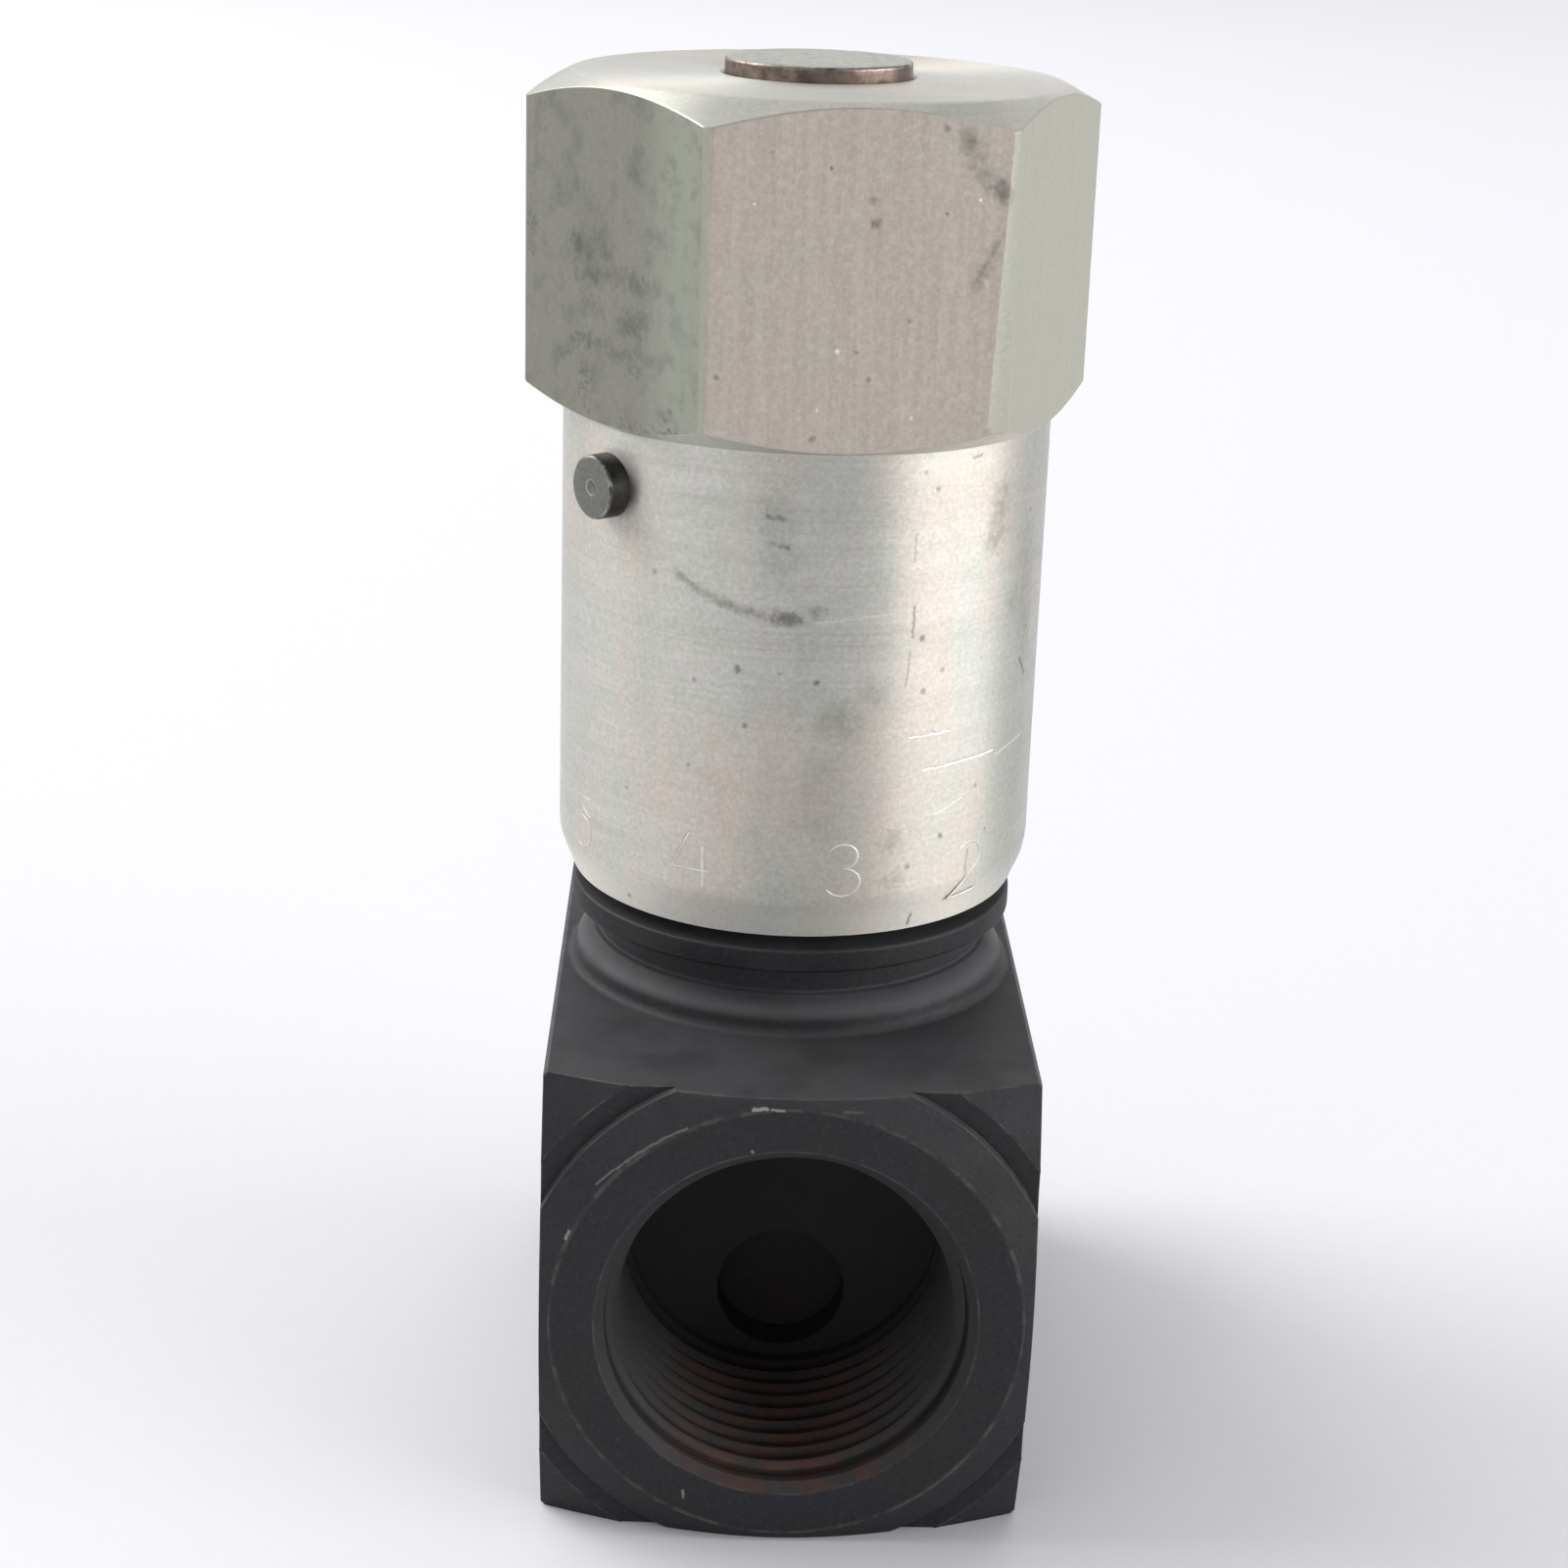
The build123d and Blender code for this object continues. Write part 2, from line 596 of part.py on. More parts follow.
def control_knob():
    """Knob in one piece: hexagon head, round skirt with a bevelled dial rim, and stepped bore."""
    skirt = turned([
        (KNOB_BORE_R, KNOB_RIM_Z),
        (SKIRT_R - RIM_BEVEL_DEPTH, KNOB_RIM_Z),
        (SKIRT_R, KNOB_RIM_Z + RIM_BEVEL_H),
        (SKIRT_R, HEX_LOW_Z),
        (SPINDLE_SHANK_R, HEX_LOW_Z),
        (SPINDLE_SHANK_R, SHANK_LOW_Z),
        (SPINDLE_THREAD_R + FIT_CLEARANCE, SHANK_LOW_Z),
        (SPINDLE_THREAD_R + FIT_CLEARANCE, KNOB_CEILING_Z),
        (KNOB_BORE_R, KNOB_CEILING_Z),
    ])
    head = hexagon_head() - rod(SPINDLE_SHANK_R, HEX_LOW_Z, KNOB_TOP_Z)
    return skirt + head - lock_screw_hole()


PIECES = [
    valve_body,
    spring_plate,
    check_spring,
    lower_cage,
    seat_ring,
    seat_ring_oring,
    seat_ring_backup,
    upper_cage,
    stack_washer,
    check_poppet,
    metering_needle,
    needle_key_pin,
    bonnet,
    bonnet_oring,
    bonnet_backup_ring,
    stem_oring,
    stem_backup_ring,
    index_ring,
    friction_ring,
    spindle,
    control_knob,
    lock_screw,
]

os.makedirs("parts", exist_ok=True)
for piece in PIECES:
    export_step(piece(), f"parts/{piece.__name__}.step")
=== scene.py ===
import json
import logging
import math
from dataclasses import dataclass, field, replace
from enum import Enum

import bmesh
import bpy
import numpy as np
from mathutils import Matrix, Vector


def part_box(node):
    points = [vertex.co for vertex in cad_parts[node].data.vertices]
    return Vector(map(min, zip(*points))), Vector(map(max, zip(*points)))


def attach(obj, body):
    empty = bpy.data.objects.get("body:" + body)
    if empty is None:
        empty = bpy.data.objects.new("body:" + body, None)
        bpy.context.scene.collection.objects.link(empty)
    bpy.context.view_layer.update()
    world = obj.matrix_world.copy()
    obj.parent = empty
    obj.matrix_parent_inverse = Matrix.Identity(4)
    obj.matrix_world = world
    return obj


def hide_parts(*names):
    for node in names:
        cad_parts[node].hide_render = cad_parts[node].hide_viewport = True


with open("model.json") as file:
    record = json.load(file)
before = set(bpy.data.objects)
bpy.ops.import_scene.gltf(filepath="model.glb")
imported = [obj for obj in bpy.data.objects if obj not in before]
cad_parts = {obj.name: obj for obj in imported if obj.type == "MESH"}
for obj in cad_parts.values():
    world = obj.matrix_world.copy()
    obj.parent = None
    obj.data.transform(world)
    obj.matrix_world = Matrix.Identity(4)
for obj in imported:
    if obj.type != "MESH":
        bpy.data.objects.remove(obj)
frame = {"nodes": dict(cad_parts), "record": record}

# Looks of an in-line flow control valve: black steel body with threaded ports, light metal knob.
# Sizes are in millimetres and turned to metres where a mesh is made. Z is up, along the knob's
# axis, and the ports lie along Y with the photographed one at -Y.

LOG = logging.getLogger("flow_control_valve")
MM = 0.001
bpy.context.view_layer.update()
WEAR = "edge_wear"
# Pieces in each rounding of an outline.
ROUND_STEPS = 3
# A straight point's rounding is too small to see, and gives its column as many rows as the others.
STRAIGHT = 1e-6

Value = bpy.types.NodeSocket | bpy.types.Node


def height_of(node: str) -> tuple[float, float]:
    """Finds the lowest and highest point of a CAD node at rest.

    Args:
        node: Name of the CAD node.

    Returns:
        The two heights, in mm.
    """
    low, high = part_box(node)
    return low.z / MM, high.z / MM


def linear(hex_colour: str) -> tuple[float, float, float, float]:
    """Turns an sRGB hex colour into linear red, green, blue and alpha.

    Args:
        hex_colour: Colour as "#rrggbb".

    Returns:
        The linear colour with an alpha of one.
    """
    raw = [int(hex_colour[i:i + 2], 16) / 255 for i in (1, 3, 5)]
    red, green, blue = (v / 12.92 if v <= 0.04045 else ((v + 0.055) / 1.055) ** 2.4 for v in raw)
    return (red, green, blue, 1.0)


def add(tree: bpy.types.NodeTree, kind: str, feeds: dict[int | str, object] | None = None,
        **settings: object) -> bpy.types.Node:
    """Adds a node with its settings and links.

    Args:
        tree: Shader or geometry tree that the node goes in.
        kind: Blender's name of the node type.
        feeds: Socket name or number to a plain value, to the output socket that feeds it, or to
            a node, whose first output in use then feeds it.
        settings: Properties of the node, set before its sockets.

    Returns:
        The new node.
    """
    made = tree.nodes.new(kind)
    for key, value in settings.items():
        setattr(made, key, value)
    for key, value in (feeds or {}).items():
        if isinstance(value, bpy.types.Node):
            value = next(out for out in value.outputs if out.enabled)
        if isinstance(value, bpy.types.NodeSocket):
            tree.links.new(value, made.inputs[key])
        else:
            made.inputs[key].default_value = value
    return made


def ramp(start: float, end: float, low: float = 0.0, high: float = 1.0) -> dict[int, float]:
    """Gives the four values of a map range, as feeds by socket number.

    Args:
        start: Input where the change begins.
        end: Input where it ends.
        low: Output before the change.
        high: Output after it.

    Returns:
        Socket number to value.
    """
    return {1: start, 2: end, 3: low, 4: high}


# Outlines and shells


@dataclass(frozen=True)
class Corner:
    """One corner of an outline.

    Attributes:
        r: Distance from the axis, in mm.
        h: Place along the axis, in mm.
        round: Length cut from each side of the corner by its rounding, in mm.
    """

    r: float
    h: float
    round: float = 0.0


def rounded(corners: list[Corner], closed: bool) -> tuple[np.ndarray, np.ndarray]:
    """Samples an outline with its corners rounded.

    Args:
        corners: Corners in order along the outline.
        closed: Whether the last corner joins the first.

    Returns:
        The points as rows of (r, h), and a wear value of 0 to 1 for each point.
    """
    points: list[tuple[float, float]] = []
    wear: list[float] = []
    count = len(corners)
    for i, corner in enumerate(corners):
        here = Vector((corner.r, corner.h))
        if corner.round <= 0 or (not closed and i in (0, count - 1)):
            points.append((corner.r, corner.h))
            wear.append(0.0)
            continue
        before = Vector((corners[i - 1].r, corners[i - 1].h)) - here
        after = Vector((corners[(i + 1) % count].r, corners[(i + 1) % count].h)) - here
        reach = min(corner.round, 0.45 * before.length, 0.45 * after.length)
        start = here + before.normalized() * reach
        end = here + after.normalized() * reach
        for j in range(ROUND_STEPS + 1):
            t = j / ROUND_STEPS
            at = (1 - t) ** 2 * start + 2 * t * (1 - t) * here + t * t * end
            points.append((at.x, at.y))
            # A straight run doesn't wear.
            wear.append(1.0 - abs(2 * t - 1) if corner.round > STRAIGHT else 0.0)
    return np.array(points), np.array(wear)


@dataclass
class PrismPlan:
    """Cross-section of a bar with flat sides and a narrow flat along each edge.

    Attributes:
        sides: Number of flat sides.
        apothem: Distance from the axis to a side, in mm.
        turn_deg: Azimuth of the first edge.
        stations: Places along a side, from -1 to 1, where columns of the mesh lie.
    """

    sides: int
    apothem: float
    turn_deg: float
    stations: list[float]

    def points(self, flats: list[float]) -> np.ndarray:
        """Gives the section's points in order round the axis.

        Args:
            flats: Width of the narrow flat along each edge, in mm.

        Returns:
            Rows of (across, up), one for each column of the mesh.
        """
        half = math.pi / self.sides
        ends = []
        for k in range(self.sides):
            azimuth = math.radians(self.turn_deg) + 2 * half * k
            out = Vector((math.cos(azimuth), math.sin(azimuth)))
            along = Vector((-out.y, out.x))
            reach = (self.apothem - flats[k] / 2 * math.sin(half)) / math.cos(half)
            ends.append((reach * out - along * flats[k] / 2, reach * out + along * flats[k] / 2))
        found = []
        for k, (low, high) in enumerate(ends):
            after = ends[(k + 1) % self.sides][0]
            mid = (high + after) / 2
            reach = (after - high) / 2
            found.extend([low, (low + high) / 2, high])
            found.extend(mid + reach * s for s in self.stations)
        return np.array([tuple(p) for p in found])

    def edge_wear(self, flat: tuple[float, float, float]) -> np.ndarray:
        """Gives the wear of each column.

        Args:
            flat: Wear across a narrow flat: at its first edge, its middle and its last edge.

        Returns:
            One value for each column, none on the sides.
        """
        return np.array(([*flat] + [0.0] * len(self.stations)) * self.sides)


def spread(count: int, last: float) -> list[float]:
    """Spaces stations along a side of a bar.

    Args:
        count: Number of even places from end to end of the side.
        last: Place of the outermost stations, close to the ends, which keep the edges crisp.

    Returns:
        Places from -1 to 1, without the ends themselves.
    """
    return [-last, *np.linspace(-1, 1, count)[1:-1].tolist(), last]


def shell(name: str, grid: np.ndarray, wear: np.ndarray, loop_rows: bool) -> bpy.types.Object:
    """Makes a closed mesh from a grid of points, one column after another round the axis.

    Args:
        name: Name of the piece.
        grid: Points in mm, as columns by rows by three.
        wear: Wear value of each point, as columns by rows.
        loop_rows: Whether the last row of a column joins its first.

    Returns:
        The piece, with its place in its mesh and its wear in an attribute.
    """
    columns, rows = grid.shape[:2]
    made = bmesh.new()
    layer = made.verts.layers.float.new(WEAR)
    verts = []
    for point, worn in zip(grid.reshape(-1, 3) * MM, wear.reshape(-1)):
        vert = made.verts.new(point)
        vert[layer] = worn
        verts.append(vert)
    for c in range(columns):
        beside = (c + 1) % columns
        for r in range(rows if loop_rows else rows - 1):
            above = (r + 1) % rows
            made.faces.new([verts[c * rows + r], verts[beside * rows + r],
                            verts[beside * rows + above], verts[c * rows + above]])
    bmesh.ops.remove_doubles(made, verts=made.verts, dist=1e-7)
    bmesh.ops.recalc_face_normals(made, faces=made.faces)
    for face in made.faces:
        face.smooth = True
    mesh = bpy.data.meshes.new(name)
    made.to_mesh(mesh)
    made.free()
    piece = bpy.data.objects.new(name, mesh)
    bpy.context.scene.collection.objects.link(piece)
    return piece


def turned(name: str, corners: list[Corner], columns: int = 128,
           closed: bool = False) -> bpy.types.Object:
    """Makes a lathe-turned piece about Z.

    Args:
        name: Name of the piece.
        corners: Outline, from the axis round to the axis, or a closed loop.
        columns: Number of steps round the axis.
        closed: Whether the outline is a loop that doesn't touch the axis.

    Returns:
        The piece.
    """
    outline, worn = rounded(corners, closed)
    azimuth = np.linspace(0, 2 * math.pi, columns, endpoint=False)[:, None]
    grid = np.stack([outline[None, :, 0] * np.cos(azimuth), outline[None, :, 0] * np.sin(azimuth),
                     np.broadcast_to(outline[None, :, 1], (columns, len(outline)))], axis=2)
    return shell(name, grid, np.broadcast_to(worn[None, :], grid.shape[:2]), closed)


def plain_mesh(piece: bpy.types.Object) -> bpy.types.Mesh:
    """Reads an object's mesh with its modifiers applied.

    Args:
        piece: Object to read.

    Returns:
        A new mesh.
    """
    graph = bpy.context.evaluated_depsgraph_get()
    return bpy.data.meshes.new_from_object(piece.evaluated_get(graph), depsgraph=graph)


def settled(piece: bpy.types.Object, sharp_deg: float = 38.0) -> bpy.types.Object:
    """Bakes a piece's modifiers into a plain mesh, with flat faces kept flat in the light.

    Args:
        piece: Object whose modifiers are applied.
        sharp_deg: Angle past which an edge is sharp.

    Returns:
        The same object, with the plain mesh.
    """
    piece.data.set_sharp_from_angle(angle=math.radians(sharp_deg))
    piece.modifiers.new("even_light", "WEIGHTED_NORMAL").keep_sharp = True
    baked = plain_mesh(piece)
    piece.modifiers.clear()
    piece.data = baked
    return piece


def fused(piece: bpy.types.Object, other: bpy.types.Object) -> bpy.types.Object:
    """Joins two closed pieces into one skin, and removes the second.

    Args:
        piece: Piece that stays.
        other: Piece that is joined to it.

    Returns:
        The first piece.
    """
    join = piece.modifiers.new("join", "BOOLEAN")
    join.operation = "UNION"
    join.solver = "EXACT"
    join.object = other
    piece.data = plain_mesh(piece)
    piece.modifiers.clear()
    bpy.data.objects.remove(other)
    return piece


def grown(name: str, tree: bpy.types.NodeTree, start: bpy.types.Mesh | None = None,
          **values: object) -> bpy.types.Object:
    """Runs a geometry tree once and keeps its result as a plain mesh.

    Args:
        name: Name of the piece.
        tree: Geometry tree.
        start: Mesh that the tree starts from.
        values: Value of each named input, with spaces as underscores.

    Returns:
        The piece.
    """
    piece = bpy.data.objects.new(name, start or bpy.data.meshes.new(name))
    bpy.context.scene.collection.objects.link(piece)
    made = piece.modifiers.new(name, "NODES")
    made.node_group = tree
    for item in tree.interface.items_tree:
        key = item.name.replace(" ", "_").lower()
        if item.in_out == "INPUT" and key in values:
            made[item.identifier] = values[key]
    piece.data = plain_mesh(piece)
    piece.modifiers.clear()
    return piece


def new_tree(name: str, inputs: dict[str, str]) -> bpy.types.NodeTree:
    """Starts a geometry tree with its named inputs, a finish after them and one geometry output.

    Args:
        name: Name of the tree.
        inputs: Name of each input but the finish to Blender's name of its socket type.

    Returns:
        The tree, with its group nodes added.
    """
    tree = bpy.data.node_groups.new(name, "GeometryNodeTree")
    for key, kind in {**inputs, "Finish": "NodeSocketMaterial"}.items():
        tree.interface.new_socket(key, in_out="INPUT", socket_type=kind)
    tree.interface.new_socket("Geometry", in_out="OUTPUT", socket_type="NodeSocketGeometry")
    add(tree, "NodeGroupInput", name="given")
    add(tree, "NodeGroupOutput", name="result")
    return tree


def end_tree(tree: bpy.types.NodeTree, geometry: bpy.types.Node) -> None:
    """Ends a geometry tree, so that it gives one mesh in the finish that it is given.

    Args:
        tree: Tree that new_tree started.
        geometry: Node that the mesh comes from.
    """
    whole = add(tree, "GeometryNodeRealizeInstances", {0: geometry})
    dressed = add(tree, "GeometryNodeSetMaterial",
                  {"Geometry": whole, "Material": tree.nodes["given"].outputs["Finish"]})
    tree.links.new(dressed.outputs[0], tree.nodes["result"].inputs[0])


# Finishes


@dataclass(frozen=True)
class Mark:
    """A spot, scratch or smear on a surface laid flat.

    Attributes:
        points: Line that it follows as (along, up); one point makes a spot.
        width: Half of its width, in mm.
        strength: How much it covers.
    """

    points: tuple[tuple[float, float], ...]
    width: float
    strength: float = 1.0


def spots(*rows: tuple[float, float, float, float]) -> tuple[Mark, ...]:
    """Makes marks of one point each.

    Args:
        rows: Place along, place up, half of the width and strength of each.

    Returns:
        The marks.
    """
    return tuple(Mark(((along, up),), width, strength) for along, up, width, strength in rows)


def unrolled(marks: tuple[Mark, ...], radius: float) -> tuple[Mark, ...]:
    """Lays marks on a round face flat.

    Args:
        marks: Marks whose points are azimuth in degrees and height in mm.
        radius: Radius of the face, in mm.

    Returns:
        The same marks with both in mm.
    """
    return tuple(replace(mark, points=tuple((math.radians(a) * radius, z) for a, z in mark.points))
                 for mark in marks)


@dataclass(frozen=True)
class Layer:
    """A colour laid over those before it.

    Attributes:
        colour: Colour as sRGB hex.
        share: How much it covers where its masks are full.
        masks: It shows where all of these do.
    """

    colour: str
    share: float
    masks: tuple[Value, ...]


@dataclass
class Surface:
    """A material under way.

    Attributes:
        material: The material.
        tree: Its node tree.
        mm: Place of the shaded point in mm, in the object's frame.
        place: X, Y and Z of that place.
        facing: X, Y and Z of the direction that the surface faces there.
        wear: Wear along the edges, from the mesh.
    """

    material: bpy.types.Material
    tree: bpy.types.NodeTree
    mm: Value
    place: tuple[Value, ...]
    facing: tuple[Value, ...]
    wear: Value

    @classmethod
    def start(cls, name: str) -> "Surface":
        """Makes an empty node material that reads Object coordinates in millimetres.

        Args:
            name: Name of the material.

        Returns:
            The material under way.
        """
        material = bpy.data.materials.new(name)
        material.use_nodes = True
        tree = material.node_tree
        tree.nodes.clear()
        read = add(tree, "ShaderNodeTexCoord")
        mm = add(tree, "ShaderNodeVectorMath", {0: read.outputs["Object"], 1: (1 / MM,) * 3},
                 operation="MULTIPLY")
        place = add(tree, "ShaderNodeSeparateXYZ", {0: mm})
        facing = add(tree, "ShaderNodeSeparateXYZ", {0: read.outputs["Normal"]})
        wear = add(tree, "ShaderNodeAttribute", attribute_name=WEAR).outputs["Fac"]
        return cls(material, tree, mm, tuple(place.outputs), tuple(facing.outputs), wear)

    def blotches(self, size: float, low: float, high: float, detail: float = 3.0,
                 stretch: tuple[float, float, float] = (1.0, 1.0, 1.0), shift: float = 0.0,
                 on: Value | None = None) -> Value:
        """Makes uneven patches, as a mask.

        Args:
            size: Size of a patch in mm.
            low: Noise value where the mask starts.
            high: Noise value where the mask is full.
            detail: Finer layers in the noise.
            stretch: How much finer the pattern is along each axis.
            shift: Moves the pattern, so that no two are alike.
            on: Coordinates in mm that the pattern follows, where not the object's own.

        Returns:
            The mask.
        """
        place = add(self.tree, "ShaderNodeVectorMath",
                    {0: on or self.mm, 1: stretch, 2: (shift, shift, shift)},
                    operation="MULTIPLY_ADD")
        cloud = add(self.tree, "ShaderNodeTexNoise",
                    {"Vector": place, "Scale": 1 / size, "Detail": detail, "Roughness": 0.55})
        return add(self.tree, "ShaderNodeMapRange", {0: cloud, **ramp(low, high)})

    def pits(self, spacing: float, radius: float, share: float, shift: float = 0.0) -> Value:
        """Scatters small pits, as a mask.

        Args:
            spacing: Typical distance between the places a pit may be, in mm.
            radius: Radius of a pit, in mm.
            share: Share of those places that have a pit.
            shift: Moves the pattern.

        Returns:
            The mask.
        """
        place = add(self.tree, "ShaderNodeVectorMath", {0: self.mm, 1: (shift, shift, shift)})
        cells = add(self.tree, "ShaderNodeTexVoronoi", {"Vector": place, "Scale": 1 / spacing})
        chance = add(self.tree, "ShaderNodeSeparateColor", {0: cells.outputs["Color"]})
        chosen = add(self.tree, "ShaderNodeMath", {0: chance, 1: share}, operation="LESS_THAN")
        near = add(self.tree, "ShaderNodeMapRange",
                   {0: cells.outputs["Distance"],
                    **ramp(0.35 * radius / spacing, radius / spacing, 1.0, 0.0)})
        return add(self.tree, "ShaderNodeMath", {0: near, 1: chosen}, operation="MULTIPLY")

    def strokes(self, along: Value, up: Value, marks: tuple[Mark, ...],
                ragged: float = 0.3) -> Value:
        """Draws marks on a surface laid flat, as one mask.

        Args:
            along: Place along the surface, in mm.
            up: Place up the surface, in mm.
            marks: The marks.
            ragged: How far their edges stray, in mm.

        Returns:
            The mask.
        """
        flat = add(self.tree, "ShaderNodeCombineXYZ", {0: along, 1: up})
        stray = add(self.tree, "ShaderNodeTexNoise",
                    {"Vector": self.mm, "Scale": 1.8, "Detail": 3.0})
        centred = add(self.tree, "ShaderNodeVectorMath",
                      {0: stray.outputs["Color"], 1: (2 * ragged, 2 * ragged, 0.0),
                       2: (-ragged, -ragged, 0.0)}, operation="MULTIPLY_ADD")
        place = add(self.tree, "ShaderNodeVectorMath", {0: flat, 1: centred})
        covered: Value | None = None
        for mark in marks:
            ends = mark.points if len(mark.points) > 1 else mark.points * 2
            for start, end in zip(ends, ends[1:]):
                away = add(self.tree, "ShaderNodeVectorMath", {0: place, 1: (*start, 0.0)},
                           operation="SUBTRACT")
                run = Vector((end[0] - start[0], end[1] - start[1], 0.0))
                if run.length > 0:
                    done = add(self.tree, "ShaderNodeVectorMath",
                               {0: away, 1: run / run.length_squared}, operation="DOT_PRODUCT")
                    kept = add(self.tree, "ShaderNodeClamp", {0: done})
                    foot = add(self.tree, "ShaderNodeVectorMath", {0: run, "Scale": kept},
                               operation="SCALE")
                    away = add(self.tree, "ShaderNodeVectorMath", {0: away, 1: foot},
                               operation="SUBTRACT")
                gap = add(self.tree, "ShaderNodeVectorMath", {0: away}, operation="LENGTH")
                cover = add(self.tree, "ShaderNodeMapRange",
                            {0: gap, **ramp(0.3 * mark.width, mark.width, mark.strength, 0.0)})
                covered = cover if covered is None else add(
                    self.tree, "ShaderNodeMath", {0: covered, 1: cover}, operation="MAXIMUM")
        return covered

    def painted(self, base: str, *layers: Layer) -> Value:
        """Lays colours over one another.

        Args:
            base: Colour at the bottom, as sRGB hex.
            layers: Colours over it, in order.

        Returns:
            The colour.
        """
        colour = linear(base)
        for layer in layers:
            cover = layer.share
            for mask in layer.masks:
                cover = add(self.tree, "ShaderNodeMath", {0: mask, 1: cover},
                            operation="MULTIPLY", use_clamp=True)
            colour = add(self.tree, "ShaderNodeMix",
                         {0: cover, 6: colour, 7: linear(layer.colour)}, data_type="RGBA")
        return colour

    def summed(self, base: float, *parts: tuple[Value, float]) -> Value:
        """Adds shares of masks to a value.

        Args:
            base: Value where every mask is empty.
            parts: Each mask with what is added where it is full.

        Returns:
            The sum.
        """
        total = base
        for mask, share in parts:
            total = add(self.tree, "ShaderNodeMath", {0: mask, 1: share, 2: total},
                        operation="MULTIPLY_ADD")
        return total

    def relief(self, *layers: tuple[Value, float]) -> Value:
        """Tilts the surface with height patterns, one over another.

        Args:
            layers: Each pattern with its full height in mm, below zero for a hollow.

        Returns:
            The surface's direction.
        """
        tilted: dict[str, Value] = {}
        for height, depth in layers:
            tilted["Normal"] = add(self.tree, "ShaderNodeBump",
                                   {"Height": height, "Distance": abs(depth) * MM,
                                    "Strength": 1.0, **tilted}, invert=depth < 0)
        return tilted["Normal"]

    def from_axis(self, across: Value, up: Value) -> tuple[Value, Value]:
        """Finds where a point lies round an axis.

        Args:
            across: Its place along the first direction from the axis, in mm.
            up: Its place along the second direction from the axis, in mm.

        Returns:
            Its distance from the axis in mm, and its azimuth in radians.
        """
        flat = add(self.tree, "ShaderNodeCombineXYZ", {0: across, 1: up})
        radius = add(self.tree, "ShaderNodeVectorMath", {0: flat}, operation="LENGTH")
        azimuth = add(self.tree, "ShaderNodeMath", {0: up, 1: across}, operation="ARCTAN2")
        return radius, azimuth

    def finished(self, **feeds: object) -> bpy.types.Material:
        """Ends the material with its surface shader.

        Args:
            feeds: Socket of the surface shader, with spaces as underscores, to value or node.

        Returns:
            The material.
        """
        surface = add(self.tree, "ShaderNodeBsdfPrincipled",
                      {key.replace("_", " "): value for key, value in feeds.items()})
        add(self.tree, "ShaderNodeOutputMaterial", {"Surface": surface})
        return self.material


